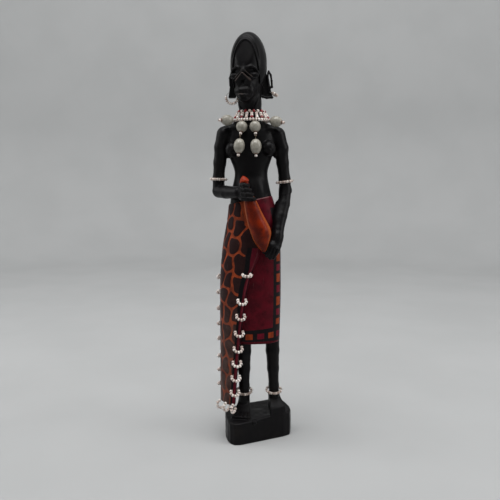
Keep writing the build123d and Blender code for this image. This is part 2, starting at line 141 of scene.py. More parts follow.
def value_noise(x, y, z, seed=1):
    """Smooth noise between -1 and 1 with a period of one unit."""
    x, y, z = np.broadcast_arrays(x, y, z)
    fx, fy, fz = np.floor(x), np.floor(y), np.floor(z)
    tx, ty, tz = x - fx, y - fy, z - fz
    tx, ty, tz = (t * t * (3 - 2 * t) for t in (tx, ty, tz))
    ix, iy, iz = fx.astype(np.int64), fy.astype(np.int64), fz.astype(np.int64)
    total = 0
    for dx in (0, 1):
        for dy in (0, 1):
            for dz in (0, 1):
                weight = (tx if dx else 1 - tx) * (ty if dy else 1 - ty) * (tz if dz else 1 - tz)
                total = total + weight * hash_noise(ix + dx, iy + dy, iz + dz, seed)
    return total


class Block:
    """A block of wood: a grid of distances that tools add to and cut from."""

    def __init__(self, low, high, step):
        self.step = step * STEP_SCALE
        self.low = np.array(low, float)
        self.axes = [
            np.arange(low[i], high[i] + self.step, self.step).astype(np.float32) for i in range(3)
        ]
        self.d = np.full([len(a) for a in self.axes], FAR, np.float32)

    def window(self, box, pad):
        cut = []
        for i in range(3):
            lo = np.searchsorted(self.axes[i], box[0][i] - pad)
            hi = np.searchsorted(self.axes[i], box[1][i] + pad)
            cut.append(slice(lo, max(hi, lo)))
        axes = [self.axes[i][cut[i]] for i in range(3)]
        p = (axes[0][:, None, None], axes[1][None, :, None], axes[2][None, None, :])
        return tuple(cut), p

    def whole(self):
        """The grid without its last layers, which stay empty, and the positions in it."""
        return self.window((self.low, [a[-1] for a in self.axes]), 0)

    def put(self, field, box=None, k=0.0, how="add"):
        """Add the field's shape, cut it away, or keep only what lies inside it."""
        if box is None:
            box = (self.low, [a[-1] for a in self.axes])
        cut, p = self.window(box, k + 2.5 * self.step)
        if 0 in self.d[cut].shape:
            return
        shape = field(p)
        if how == "add":
            self.d[cut] = smooth_min(self.d[cut], shape, k)
        elif how == "cut":
            self.d[cut] = smooth_max(self.d[cut], -shape, k)
        else:
            self.d[cut] = smooth_max(self.d[cut], shape, k)

    def ball(self, centre, radii, k=0.0, how="add", turn=None):
        reach = max(radii)
        world = turn.out(centre) if turn else centre
        box = ([c - reach for c in world], [c + reach for c in world])
        self.put(lambda p: ellipsoid(turn.into(p) if turn else p, centre, radii), box, k, how)

    def rod(self, points, k=0.0, how="add", turn=None):
        """Tapered round rod through points (x, y, z, radius)."""
        for a, b in zip(points, points[1:]):
            ends = [turn.out(q[:3]) if turn else q[:3] for q in (a, b)]
            reach = max(a[3], b[3])
            box = (
                [min(e[i] for e in ends) - reach for i in range(3)],
                [max(e[i] for e in ends) + reach for i in range(3)],
            )
            self.put(
                lambda p, a=a, b=b: capsule(turn.into(p) if turn else p, a[:3], b[:3], a[3], b[3]),
                box, k, how,
            )

    def keep(self, field, k=0.0):
        self.put(field, None, k, "keep")


class Turn:
    """A frame turned about an upright axis: local x to the figure's left, local -y forward."""

    def __init__(self, origin, degrees):
        self.o = origin
        self.c, self.s = math.cos(math.radians(degrees)), math.sin(math.radians(degrees))

    def into(self, p):
        x, y = p[0] - self.o[0], p[1] - self.o[1]
        return (x * self.c + y * self.s, -x * self.s + y * self.c, p[2])

    def out(self, q):
        x, y = q[0], q[1]
        return (self.o[0] + x * self.c - y * self.s, self.o[1] + x * self.s + y * self.c, q[2])


def mesh_block(block):
    """Closed quad mesh of the zero surface (surface nets)."""
    d = block.d
    for side in (np.s_[[0, -1]], np.s_[:, [0, -1]], np.s_[:, :, [0, -1]]):
        d[side] = np.maximum(d[side], JUST_OUTSIDE)
    inside = d < 0
    nx, ny, nz = d.shape
    corners = [(i, j, k) for i in (0, 1) for j in (0, 1) for k in (0, 1)]
    count = np.zeros((nx - 1, ny - 1, nz - 1), np.int8)
    for i, j, k in corners:
        count += inside[i:nx - 1 + i, j:ny - 1 + j, k:nz - 1 + k]
    cells = np.argwhere((count > 0) & (count < 8))
    index = np.full(count.shape, -1, np.int32)
    index[tuple(cells.T)] = np.arange(len(cells), dtype=np.int32)
    total = np.zeros((len(cells), 3))
    hits = np.zeros(len(cells))
    for a in corners:
        for axis in range(3):
            if a[axis]:
                continue
            b = list(a)
            b[axis] = 1
            va = d[tuple((cells + a).T)]
            vb = d[tuple((cells + b).T)]
            crossing = (va < 0) != (vb < 0)
            t = np.where(crossing, va / np.where(va == vb, 1, va - vb), 0)
            point = np.array(a, float)[None, :] + np.zeros((len(cells), 3))
            point[:, axis] = t
            total += point * crossing[:, None]
            hits += crossing
    verts = cells + total / np.maximum(hits, 1)[:, None]
    faces = []
    for axis in range(3):
        u, v = (axis + 1) % 3, (axis + 2) % 3
        lo = [slice(1, -1)] * 3
        lo[axis] = slice(0, -1)
        hi = list(lo)
        hi[axis] = slice(1, None)
        a, b = inside[tuple(lo)], inside[tuple(hi)]
        where = np.argwhere(a != b)
        base = where.copy()
        base[:, u] += 1
        base[:, v] += 1
        flip = ~a[tuple(where.T)]
        quads = []
        for du, dv in ((-1, -1), (0, -1), (0, 0), (-1, 0)):
            q = base.copy()
            q[:, u] += du
            q[:, v] += dv
            quads.append(index[tuple(q.T)])
        quads = np.stack(quads, 1)
        quads[flip] = quads[flip][:, ::-1]
        faces.append(quads)
    return block.low + verts * block.step, np.concatenate(faces)


def make_mesh(name, verts, faces):
    """A mesh object from millimetre vertices and an array of equal-sided faces."""
    mesh = bpy.data.meshes.new(name)
    sides = faces.shape[1]
    mesh.vertices.add(len(verts))
    mesh.vertices.foreach_set("co", (np.asarray(verts, np.float32) * MM).ravel())
    mesh.loops.add(faces.size)
    mesh.loops.foreach_set("vertex_index", np.asarray(faces, np.int32).ravel())
    mesh.polygons.add(len(faces))
    mesh.polygons.foreach_set("loop_start", np.arange(len(faces), dtype=np.int32) * sides)
    mesh.update(calc_edges=True)
    mesh.validate()
    mesh.shade_smooth()
    obj = bpy.data.objects.new(name, mesh)
    bpy.context.collection.objects.link(obj)
    return obj


def attribute(obj, name, values):
    layer = obj.data.attributes.new(name, "FLOAT", "POINT")
    layer.data.foreach_set("value", np.asarray(values, np.float32))


def place(obj, material, body, nodes):
    """Give a piece its material, and put it on its body in place of CAD nodes."""
    obj.data.materials.append(material)
    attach(obj, body)
    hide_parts(*nodes)


def carve(block, name, node, material, attributes=None):
    """Mesh a block and put it in place of a CAD node."""
    verts, faces = mesh_block(block)
    obj = make_mesh(name, verts, faces)
    for key, values in (attributes(verts) if attributes else {}).items():
        attribute(obj, key, values)
    place(obj, material, BODY_OF[node], [node])


# ---- materials
class Nodes:
    """Short calls for building a node material."""

    def __init__(self, name):
        self.material = bpy.data.materials.new(name)
        self.material.use_nodes = True
        self.tree = self.material.node_tree
        self.shader = self.tree.nodes["Principled BSDF"]
        self.position = self.tree.nodes.new("ShaderNodeTexCoord").outputs["Object"]

    def link(self, source, socket):
        if isinstance(source, bpy.types.NodeSocket):
            self.tree.links.new(source, socket)
        else:
            socket.default_value = source

    def set(self, **values):
        for key, value in values.items():
            self.link(value, self.shader.inputs[key.replace("_", " ")])

    def math(self, operation, a, b):
        node = self.tree.nodes.new("ShaderNodeMath")
        node.operation = operation
        self.link(a, node.inputs[0])
        self.link(b, node.inputs[1])
        return node.outputs[0]

    def times(self, a, b):
        return self.math("MULTIPLY", a, b)

    def plus(self, a, b):
        return self.math("ADD", a, b)

    def attribute(self, name):
        node = self.tree.nodes.new("ShaderNodeAttribute")
        node.attribute_name = name
        return node.outputs["Fac"]

    def scaled(self, x, y, z):
        node = self.tree.nodes.new("ShaderNodeMapping")
        node.inputs["Scale"].default_value = (x, y, z)
        self.tree.links.new(self.position, node.inputs["Vector"])
        return node.outputs[0]

    def noise(self, size, detail=4.0, rough=0.55, stretch=(1, 1, 1), distortion=0.0):
        """Noise whose features are about size millimetres."""
        node = self.tree.nodes.new("ShaderNodeTexNoise")
        s = 1000.0 / size
        self.tree.links.new(self.scaled(*(s * v for v in stretch)), node.inputs["Vector"])
        node.inputs["Scale"].default_value = 1.0
        node.inputs["Detail"].default_value = detail
        node.inputs["Roughness"].default_value = rough
        node.inputs["Distortion"].default_value = distortion
        return node.outputs["Fac"]

    def range(self, value, lo, hi, to_lo=0.0, to_hi=1.0):
        node = self.tree.nodes.new("ShaderNodeMapRange")
        node.interpolation_type = "SMOOTHSTEP"
        self.link(value, node.inputs["Value"])
        for key, v in (("From Min", lo), ("From Max", hi), ("To Min", to_lo), ("To Max", to_hi)):
            self.link(v, node.inputs[key])
        return node.outputs[0]

    def mix(self, factor, a, b):
        node = self.tree.nodes.new("ShaderNodeMix")
        node.data_type = "RGBA"
        self.link(factor, node.inputs["Factor"])
        colour = [s for s in node.inputs if s.type == "RGBA"]
        self.link(colour_value(a), colour[0])
        self.link(colour_value(b), colour[1])
        return [s for s in node.outputs if s.type == "RGBA"][0]

    def bump(self, height, strength, distance_mm):
        node = self.tree.nodes.new("ShaderNodeBump")
        node.inputs["Strength"].default_value = strength
        node.inputs["Distance"].default_value = distance_mm * MM
        self.link(height, node.inputs["Height"])
        return node.outputs[0]


def srgb(code):
    """Linear colour of an sRGB hex code."""
    parts = [int(code[i:i + 2], 16) / 255 for i in (1, 3, 5)]
    return tuple(c / 12.92 if c <= 0.04045 else ((c + 0.055) / 1.055) ** 2.4 for c in parts) + (1.0,)


def colour_value(value):
    return srgb(value) if isinstance(value, str) else value


BLACK = "#0B0A0C"
BLACK_WORN = "#191615"


def black_wood(name, wear_and_highlight=1.0):
    """Stained and waxed black wood: tool strokes, faint grain, brown wear on high spots, painted edge
    highlights.
    """
    n = Nodes(name)
    grain = n.noise(3.5, 5, 0.6, (1, 1, 0.12))
    patches = n.noise(14, 4, 0.6)
    scuffs = n.noise(1.6, 6, 0.7, (1, 1, 0.35))
    colour = n.mix(n.range(grain, 0.35, 0.7), BLACK, "#100E0F")
    colour = n.mix(n.times(n.range(patches, 0.55, 0.75), 0.5 * wear_and_highlight), colour, BLACK_WORN)
    colour = n.mix(n.times(n.range(scuffs, 0.66, 0.74), 0.5 * wear_and_highlight), colour, "#382C27")
    # painted highlights on the head's nose, lip and cheek edges, in a pale brown wood colour
    colour = n.mix(n.times(n.attribute("painted_highlight"), 0.75), colour, "#62544E")
    rough = n.plus(n.range(patches, 0.3, 0.7, 0.3, 0.42), n.range(scuffs, 0.4, 0.8, 0.0, 0.12))
    height = n.plus(n.times(grain, 0.5), n.times(n.noise(6, 2, 0.5), 0.8))
    n.set(Base_Color=colour, Roughness=rough, Normal=n.bump(height, 0.6, 0.22))
    n.set(Specular_IOR_Level=0.115)
    return n.material


def painted(n, colour):
    """Thin glossy paint over carved wood, with fine scratches."""
    brush = n.noise(2.2, 5, 0.6, (1, 1, 0.15))
    patches = n.noise(11, 4, 0.6)
    scratch = n.noise(1.1, 3, 0.6, (1.0, 1.0, 0.06))
    colour = n.mix(n.times(n.range(patches, 0.42, 0.68), 0.35), colour, "#1A1012")
    colour = n.mix(n.times(n.range(scratch, 0.68, 0.76), 0.4), colour, "#7A5A56")
    height = n.plus(n.times(brush, 0.5), n.times(patches, 0.8))
    n.set(Base_Color=colour, Roughness=n.range(patches, 0.3, 0.7, 0.32, 0.5))
    n.set(Normal=n.bump(height, 0.5, 0.2), Specular_IOR_Level=0.06)


def skirt_paint():
    n = Nodes("oxblood_skirt_paint")
    wobble = n.times(n.math("SUBTRACT", n.noise(2.5, 3), 0.5), 0.9)

    def edge(name):
        return n.range(n.plus(n.attribute(name), wobble), -0.18, 0.18, 1.0, 0.0)

    red = n.mix(n.range(n.noise(9, 4, 0.6), 0.4, 0.7), "#560F1B", "#3E0B14")
    colour = n.mix(edge("band"), red, "#161416")
    colour = n.mix(edge("orange"), colour, n.mix(n.noise(3, 4), "#7E3018", "#9C421E"))
    colour = n.mix(edge("red"), colour, "#6A1424")
    # painted highlight: a pale line along the top edge at the waist, on the front
    rim = n.range(n.plus(n.attribute("rim"), n.times(wobble, 0.6)), 0.05, 0.55, 1.0, 0.0)
    colour = n.mix(n.times(rim, 0.6), colour, "#A07C7A")
    painted(n, colour)
    return n.material


def shawl_paint():
    n = Nodes("giraffe_shawl_paint")
    wobble = n.times(n.math("SUBTRACT", n.noise(3.0, 4), 0.5), 1.6)
    line = n.range(n.plus(n.attribute("cells"), wobble), 1.5, 2.2, 1.0, 0.0)
    fade = n.range(n.noise(8, 3, 0.6), 0.35, 0.62, 0.55, 1.0)
    cell = n.mix(n.noise(7, 4, 0.6), "#1A0D0F", "#33201F")
    orange = n.mix(n.noise(4, 4), "#84361C", "#A34A2A")
    colour = n.mix(n.times(line, fade), cell, orange)
    # greyer and paler towards the bottom of the cloth
    paler_lower_down = n.times(n.attribute("paler_lower_down"), n.range(n.noise(6, 4, 0.6), 0.3, 0.65, 0.25, 0.6))
    colour = n.mix(paler_lower_down, colour, "#5E4A44")
    edge = n.plus(n.attribute("edge"), n.times(wobble, 0.45))
    colour = n.mix(n.range(edge, 4.4, 4.8, 1.0, 0.0), colour, "#131214")
    colour = n.mix(n.range(edge, -0.2, 0.2, 1.0, 0.0), colour, n.mix(n.noise(6, 4), "#6A1626", "#480E1A"))
    # a pale line along the free front edge: partly rubbed paint, partly painted highlight
    rim = n.range(n.plus(n.attribute("rim"), n.times(wobble, 0.25)), 0.1, 0.7, 1.0, 0.0)
    colour = n.mix(n.times(rim, 0.4), colour, "#A87A76")
    painted(n, colour)
    return n.material


def gourd_stain():
    n = Nodes("gourd_stain")
    streaks = n.noise(4.5, 5, 0.62, (1, 1, 0.3), 0.6)
    blotch = n.noise(7.5, 4, 0.6)
    colour = n.mix(n.range(blotch, 0.38, 0.66), "#7A2307", "#541405")
    colour = n.mix(n.times(n.range(streaks, 0.56, 0.7), 0.75), colour, "#2E0D07")
    # painted shade: darker down the middle that faces the front
    core = n.times(n.attribute("core"), n.range(n.noise(9, 3), 0.3, 0.6, 0.4, 1.0))
    colour = n.mix(n.times(core, 0.6), colour, "#41100A")
    # painted highlight: paler orange at the left and right sides as seen from the front
    wear_and_highlight = n.range(n.attribute("wear_and_highlight"), 0.0, 1.0)
    colour = n.mix(n.times(wear_and_highlight, 0.8), colour, "#A04E22")
    colour = n.mix(n.range(n.attribute("neck"), 0.2, 0.8), colour, "#8A2A12")
    height = n.plus(n.times(streaks, 0.6), blotch)
    n.set(Base_Color=colour, Roughness=n.range(blotch, 0.3, 0.7, 0.3, 0.46))
    n.set(Normal=n.bump(height, 0.5, 0.25), Specular_IOR_Level=0.12)
    return n.material


def glass(name, light, dark, speck):
    """Opaque glass bead colour with a different tint on every bead."""
    n = Nodes(name)
    colour = n.mix(n.attribute("tint"), light, dark)
    colour = n.mix(n.times(n.range(n.noise(0.7, 4), 0.58, 0.72), 0.35), colour, speck)
    n.set(Base_Color=colour, Roughness=n.range(n.noise(0.9, 3), 0.3, 0.7, 0.18, 0.34))
    n.set(Normal=n.bump(n.noise(0.8, 3), 0.4, 0.05), Subsurface_Weight=0.12)
    n.shader.inputs["Subsurface Radius"].default_value = (1.0, 0.7, 0.6)
    n.shader.inputs["Subsurface Scale"].default_value = 0.0006
    n.set(Coat_Weight=0.35, Coat_Roughness=0.12)
    return n.material


def nut_shell():
    n = Nodes("grey_nut_shell")
    tip = n.attribute("along")
    streak = n.noise(1.5, 5, 0.65, (1, 1, 0.25), 0.4)
    colour = n.mix(n.range(n.noise(3.2, 4), 0.35, 0.68), "#9C988D", "#858176")
    colour = n.mix(n.times(n.range(streak, 0.52, 0.68), 0.45), colour, "#6F6B61")
    freckle = n.noise(0.5, 4, 0.7)
    colour = n.mix(n.times(n.range(freckle, 0.6, 0.72), 0.4), colour, "#5A4C40")
    colour = n.mix(n.range(n.plus(tip, n.times(streak, 0.12)), 0.9, 1.02), colour, "#5F3F2B")
    n.set(Base_Color=colour, Roughness=n.range(streak, 0.3, 0.7, 0.3, 0.48))
    n.set(Normal=n.bump(n.plus(streak, freckle), 0.5, 0.12))
    n.set(Coat_Weight=0.25, Coat_Roughness=0.2)
    return n.material


def wire_metal():
    n = Nodes("dull_wire")
    tarnish = n.noise(1.2, 4)
    n.set(Base_Color=n.mix(n.range(tarnish, 0.35, 0.7), "#9A8F80", "#5A4A3C"), Metallic=1.0)
    n.set(Roughness=n.range(tarnish, 0.3, 0.7, 0.32, 0.5), Normal=n.bump(tarnish, 0.3, 0.03))
    return n.material


BLACK_WOOD = black_wood("black_wood")
HEAD_WOOD = black_wood("black_wood_head", 0.8)
PLINTH_WOOD = black_wood("black_wood_plinth", 1.6)
SKIRT_PAINT, SHAWL_PAINT, GOURD_STAIN = skirt_paint(), shawl_paint(), gourd_stain()
WHITE_GLASS = glass("white_glass", "#F4ECE6", "#C9B4AA", "#B0948A")
OLD_GLASS = glass("old_glass", "#EFE4DC", "#8E786C", "#7A6458")
RED_GLASS = glass("red_glass", "#A01720", "#7A0F18", "#4E0A10")
NUT_SHELL, WIRE = nut_shell(), wire_metal()


# ---- shared outlines, mm
HEM_Z, SHAWL_BOTTOM_Z, WAIST_Z, WAIST_TILT = 99.5, 37.5, 241.5, 11.0
SHAWL_THICKNESS, SHAWL_REAR_Y, EDGE_Y = 5.0, 11.0, -18.0
SKIRT_ROWS = [
    (HEM_Z, -32.0, 23.0, -17.0, 22.0), (150.0, -32.0, 24.0, -18.5, 24.0), (172.0, -31.3, 23.8, -19.0, 25.0),
    (198.0, -28.7, 23.2, -19.0, 25.0), (222.0, -24.5, 21.0, -17.0, 20.0), (252.0, -21.5, 12.5, -14.0, 16.0),
]
SHAWL_ROWS = [(SHAWL_BOTTOM_Z,) + SKIRT_ROWS[0][1:]] + SKIRT_ROWS
TORSO_ROWS = [
    (225.0, -27.0, 18.5, -15.5, 17.5), (240.0, -26.2, 15.4, -13.6, 15.8), (252.0, -24.4, 12.4, -12.5, 15.0),
    (268.0, -22.0, 10.2, -12.0, 14.0), (283.0, -27.0, 14.6, -12.8, 15.0), (297.0, -29.5, 17.6, -12.5, 15.0),
    (307.0, -28.0, 16.0, -10.0, 13.5), (316.0, -20.0, 6.0, -6.5, 12.0), (322.0, -15.8, 3.6, -6.5, 12.0),
]
FRONT_EDGE = [
    (-12.0, 262.0), (-6.0, 240.0), (-1.0, 222.0), (3.4, 205.0), (2.8, 190.0), (-1.0, 179.0), (-4.6, 170.0),
    (-8.6, 156.0), (-11.6, 140.0), (-14.5, 122.0), (-17.0, 103.0), (-20.0, 75.0), (-24.0, 30.0),
]
EDGE_SLOPE = 0.5        # how far the cut face of that edge turns outwards, mm per mm of depth
NECK = (-6.2, 2.8)      # its axis (x, y)
GOURD_TOP, GOURD_FOOT = Vector((-13.6, -27.5, 264.0)), Vector((6.4, -27.5, 192.5))
GOURD_OUTLINE = [
    (0.0, 0.3), (0.8, 1.6), (2.4, 3.1), (4.4, 4.3), (5.6, 4.4), (6.6, 3.2), (10.0, 3.1), (15.0, 3.3),
    (24.0, 5.8), (32.0, 7.1), (39.5, 8.1), (46.5, 9.1), (54.0, 9.6), (59.0, 9.1), (64.0, 7.2), (69.0, 4.5),
    (73.0, 1.9), (74.2, 0.3),
]
# how far the belly leans out, where along the axis, and over what length
GOURD_BELLY = (2.2, 56.0, 12.0)
GOURD_BOX = ((-18, -37, 190), (16, -14, 246))       # where it meets the skirt and the shawl


def edge_x(z):
    """Where the shawl's free front edge is at each height."""
    return curve_rows([(height, x) for x, height in FRONT_EDGE], z)[0]


def waist_height(x):
    return WAIST_Z + (x + 5.0) * math.tan(math.radians(WAIST_TILT))


def gourd_field(p, grow=0.0):
    axis = (GOURD_FOOT - GOURD_TOP).normalized()
    x, y, z = (p[i] - GOURD_TOP[i] for i in range(3))
    along = x * axis[0] + y * axis[1] + z * axis[2]
    lean, middle, spread = GOURD_BELLY
    lean = lean * np.exp(-(((along - middle) / spread) ** 2))
    x, z = x + lean * axis[2], z - lean * axis[0]
    radial = np.sqrt(np.maximum(x * x + y * y + z * z - along * along, 0.0))
    outline = GOURD_OUTLINE + [(a, -r) for a, r in reversed(GOURD_OUTLINE)]
    return polygon(along, radial, outline) - grow


# ---- head
HEAD = Turn((-8.3, 1.5), -15.0)
JAW = [
    # (z, half width, front, back)
    (332.5, 3.5, -17.5, -8.0), (336.0, 6.5, -19.3, -5.0), (341.0, 9.3, -19.6, 0.0),
    (347.0, 11.8, -18.8, 7.0), (353.0, 14.0, -18.4, 13.0), (360.0, 15.7, -18.6, 17.6),
    (366.0, 16.2, -19.0, 19.0), (373.0, 14.0, -17.0, 17.0),
]


def mirrored(half):
    """A rod's points from side to side, from those on one side of the face."""
    return [(-x, y, z, r) for x, y, z, r in reversed(half) if x] + half


def carve_head():
    b = Block((-32, -28, 320), (20, 26, 402.5), 0.42)
    t = HEAD
    b.ball((0, 0, 371.5), (17.0, 20.5, 28.5), turn=t)
    jaw = [(z, -half, half, front, back) for z, half, front, back in JAW]
    b.put(lambda p: sections(t.into(p), jaw), k=2.5)
    neck = [(-7.4, 0.8, 344.0, 10.6), (-7.2, 1.6, 334.0, 10.5), NECK + (323.0, 10.08), NECK + (314.0, 10.26)]
    b.rod(neck, 3.0)
    # hair cap: the face panel lies below it, with a groove round the brow of the cap
    cut, p = b.whole()
    lx, ly, z = t.into(p)

    def oval(a, c, mid, half):
        e = np.sqrt(((lx - c) / a) ** 2 + ((z - mid) / half) ** 2)
        return (e - 1) * a

    front = smooth_step(-2.0, -7.0, ly)
    inside = 1 - smooth_step(-0.4, 0.4, oval(12.6, 0.6, 357.0, 33.0))
    panel = 1.35 * inside * front
    groove = 0.9 * np.exp(-((oval(13.9, 0.6, 357.0, 36.3) / 0.6) ** 2)) * front * smooth_step(366, 380, z)
    b.d[cut] += (panel + groove - 0.2).astype(np.float32)
    forehead = -19.7 + (z - 366.0) * 0.22 + 0.02 * lx * lx - ly
    b.d[cut] = smooth_max(b.d[cut], forehead - 12 * (1 - inside * front) - 9 * smooth_step(368, 363, z), 0.6)
    # brow, eye sockets and half-closed lids
    for s in (-1, 1):
        b.ball((8.6 * s, -22.6, 358.4), (5.6, 5.4, 3.6), 1.6, "cut", turn=t)
        b.ball((8.7 * s, -14.4, 357.6), (5.0, 3.9, 2.9), 0.6, turn=t)
        b.rod([(3.0 * s, -18.4, 364.0, 0.6), (7.5 * s, -17.9, 365.0, 0.7), (11.0 * s, -15.9, 363.4, 0.7),
               (13.6 * s, -13.2, 359.8, 0.5)], 2.4, turn=t)
        crease = [(3.6 * s, -19.4, 361.0, 0.4), (8.0 * s, -18.7, 362.2, 0.45), (11.6 * s, -16.4, 360.8, 0.4),
                  (13.4 * s, -14.2, 358.2, 0.3)]
        b.rod(crease, 0.5, "cut", turn=t)
        slit = [(4.2 * s, -18.6, 357.0, 0.4), (6.4 * s, -18.6, 355.9, 0.45), (8.8 * s, -18.3, 355.5, 0.45),
                (11.2 * s, -17.1, 355.9, 0.42), (13.0 * s, -15.2, 357.0, 0.36)]
        b.rod(slit, 0.25, "cut", turn=t)
        b.rod([(x, y + 0.5, zz - 1.1, 0.6) for x, y, zz, _ in slit], 0.6, turn=t)
    # nose: short, broad and upturned, its wings spreading from the tip like a roof
    b.rod([(0, -17.4, 366.0, 1.4), (0, -20.2, 360.5, 2.0)], 2.0, turn=t)
    for s in (-1, 1):
        b.rod([(0.2 * s, -20.6, 362.2, 0.9), (4.0 * s, -19.4, 358.6, 0.8), (8.0 * s, -17.9, 355.4, 0.6)],
              0.8, turn=t)
        b.rod([(0.2 * s, -23.2, 358.0, 1.3), (6.6 * s, -19.9, 351.9, 1.3)], 0.5, turn=t)
        b.ball((4.6 * s, -18.6, 352.2), (3.2, 2.8, 2.6), 0.8, turn=t)
        b.rod([(1.0 * s, -22.6, 360.4, 0.35), (7.4 * s, -19.0, 354.2, 0.35)], 0.5, "cut", turn=t)
        b.rod([(7.8 * s, -18.2, 351.5, 0.5), (9.0 * s, -17.3, 347.5, 0.5), (9.2 * s, -16.6, 343.5, 0.4)],
              1.0, "cut", turn=t)
    b.ball((0, -20.2, 355.0), (4.0, 2.4, 2.6), 0.8, turn=t)
    b.rod(mirrored([(0, -24.2, 353.4, 1.5), (3.4, -23.4, 350.4, 1.5)]), 1.0, "cut", turn=t)
    for s in (-1, 1):
        b.ball((2.6 * s, -22.3, 351.6), (1.2, 1.6, 0.95), 0.3, "cut", turn=t)
    # muzzle, lips and chin
    b.ball((0, -16.0, 343.6), (9.2, 4.6, 7.6), 4.5, turn=t)
    b.rod([(0, -21.2, 349.6, 0.6), (0, -21.6, 345.8, 0.5)], 1.0, "cut", turn=t)
    upper_lip = mirrored([(0, -19.6, 343.2, 1.6), (3.0, -19.4, 343.4, 1.6), (6.6, -17.7, 342.7, 1.1)])
    lower_lip = mirrored([(2.0, -20.8, 338.7, 1.7), (5.8, -18.4, 339.6, 1.0)])
    mouth = mirrored([(0, -22.6, 341.2, 0.6), (3.5, -22.0, 341.5, 0.6), (7.4, -19.0, 341.2, 0.45)])
    b.rod(upper_lip, 2.2, turn=t)
    b.rod(lower_lip, 0.7, turn=t)
    b.rod(mouth, 0.4, "cut", turn=t)
    b.ball((0, -17.6, 335.6), (4.6, 3.2, 2.8), 1.6, turn=t)
    b.rod(mirrored([(0, -21.9, 336.5, 0.45), (4.5, -20.9, 336.8, 0.45)]), 0.9, "cut", turn=t)
    carve_ears(b)
    b.keep(lambda p: HEAD_BOTTOM_Z - p[2])
    return b


# painted highlights on the nose, lips and cheek edge, in the head's own frame: (start, end, reach, how much
# shows)
PAINTED_EDGE_HIGHLIGHTS = [
    ((-4.5, -20.6, 340.0), (0.0, -22.2, 340.0), 1.0, 0.55),
    ((-13.4, -13.0, 352.0), (-8.6, -15.6, 336.0), 1.3, 0.8),
]
for s in (-1, 1):
    PAINTED_EDGE_HIGHLIGHTS.append(((0.2 * s, -23.6, 358.6), (6.8 * s, -20.4, 352.3), 1.3, 1.0))
    PAINTED_EDGE_HIGHLIGHTS.append(((0.2 * s, -20.9, 362.6), (8.0 * s, -18.2, 355.9), 0.8, 0.5))


def head_marks(v):
    p = np.stack(HEAD.into((v[:, 0], v[:, 1], v[:, 2])), axis=1)
    painted_highlight = np.zeros(len(p))
    for start, end, reach, shows in PAINTED_EDGE_HIGHLIGHTS:
        a, d = np.array(start), np.array(end) - np.array(start)
        t = np.clip((p - a) @ d / (d @ d), 0, 1)
        gap = np.linalg.norm(p - a - t[:, None] * d, axis=1)
        painted_highlight = np.maximum(painted_highlight, shows * (1 - smooth_step(0.1 * reach, reach, gap)))
    return {"painted_highlight": painted_highlight}


def carve_ears(b):
    """Long ear flaps with a leaf-shaped rim above, and a drilled hole for each earring."""
    right = [(-27.8, 338.6), (-20.6, 338.6), (-18.5, 352.0), (-18.6, 365.0), (-23.6, 365.0), (-25.6, 358.0),
             (-26.2, 350.0)]
    left = [(4.6, 339.4), (15.4, 338.8), (13.4, 346.0), (12.4, 352.0), (11.4, 358.0), (8.6, 361.5),
            (3.0, 362.0), (2.4, 350.0), (2.6, 342.0)]
    for outline, y0, y1 in ((right, -1.3, 4.0), (left, 3.9, 8.4)):
        def flap(p, outline=outline, y0=y0, y1=y1):
            return np.maximum(polygon(p[0], p[2], outline), np.maximum(y0 - p[1], p[1] - y1))

        xs = [q[0] for q in outline]
        b.put(flap, ((min(xs), y0, 338), (max(xs), y1, 367)), 1.2)
    # lit lower rim of the flap and its hollow face, left ear
    b.rod([(4.0, 3.3, 340.8, 1.0), (9.0, 3.0, 339.2, 1.2), (14.8, 3.3, 339.8, 1.0)], 0.4)
    b.rod([(7.6, 2.6, 350.0, 1.3), (9.6, 2.6, 343.5, 1.8)], 1.4, "cut")
    # leaf-shaped rim
    rim = [(10.9, 5.0, 364.6, 1.0), (13.0, 5.2, 361.0, 1.0), (13.9, 5.3, 355.5, 1.0), (14.3, 5.2, 349.6, 1.0),
           (12.4, 4.6, 349.0, 0.9), (10.8, 4.0, 352.6, 0.9), (10.2, 3.6, 358.0, 0.9), (10.4, 4.4, 363.2, 0.9)]
    b.rod(rim, 0.7)
    b.ball((12.0, 3.2, 355.0), (1.0, 2.4, 5.2), 0.5, "cut")
    b.rod([(-24.6, -1.0, 363.0, 0.9), (-26.2, -0.8, 357.0, 1.0), (-26.0, -0.8, 350.0, 0.9)], 0.7)
    # earring holes
    b.rod([(-29.0, 0.8, 344.0, 0.62), (-19.8, 0.8, 344.0, 0.62)], 0, "cut")
    b.rod([(12.6, 1.0, 345.0, 0.66), (12.6, 11.0, 345.0, 0.66)], 0, "cut")


# ---- trunk, arms and hands
RIGHT_ARM = [
    (-31.3, 2.0, 304.0, 8.3), (-34.6, 2.0, 292.0, 6.9), (-36.5, 2.0, 277.0, 5.9), (-37.7, 2.0, 262.0, 5.5),
    (-37.6, 1.6, 250.0, 6.1),
]
RIGHT_FOREARM = [(-37.4, 1.4, 249.4, 6.4), (-30.0, -8.0, 248.7, 6.2), (-18.0, -22.0, 248.6, 5.6)]
LEFT_ARM = [
    (19.4, 2.0, 303.5, 8.0), (23.4, 2.2, 291.0, 6.8), (24.9, 2.5, 277.0, 5.8), (26.9, 2.9, 261.0, 5.5),
    (27.7, 2.6, 250.0, 6.0), (26.0, -3.0, 237.0, 5.9), (23.4, -8.5, 226.0, 5.6), (20.6, -14.6, 213.0, 5.0),
    (19.4, -18.0, 205.0, 4.8),
]
LEFT_ELBOW = 4          # index of its point in LEFT_ARM
TRUNK_TOP_Z, HEAD_BOTTOM_Z = 323.0, 321.0       # they overlap in the neck


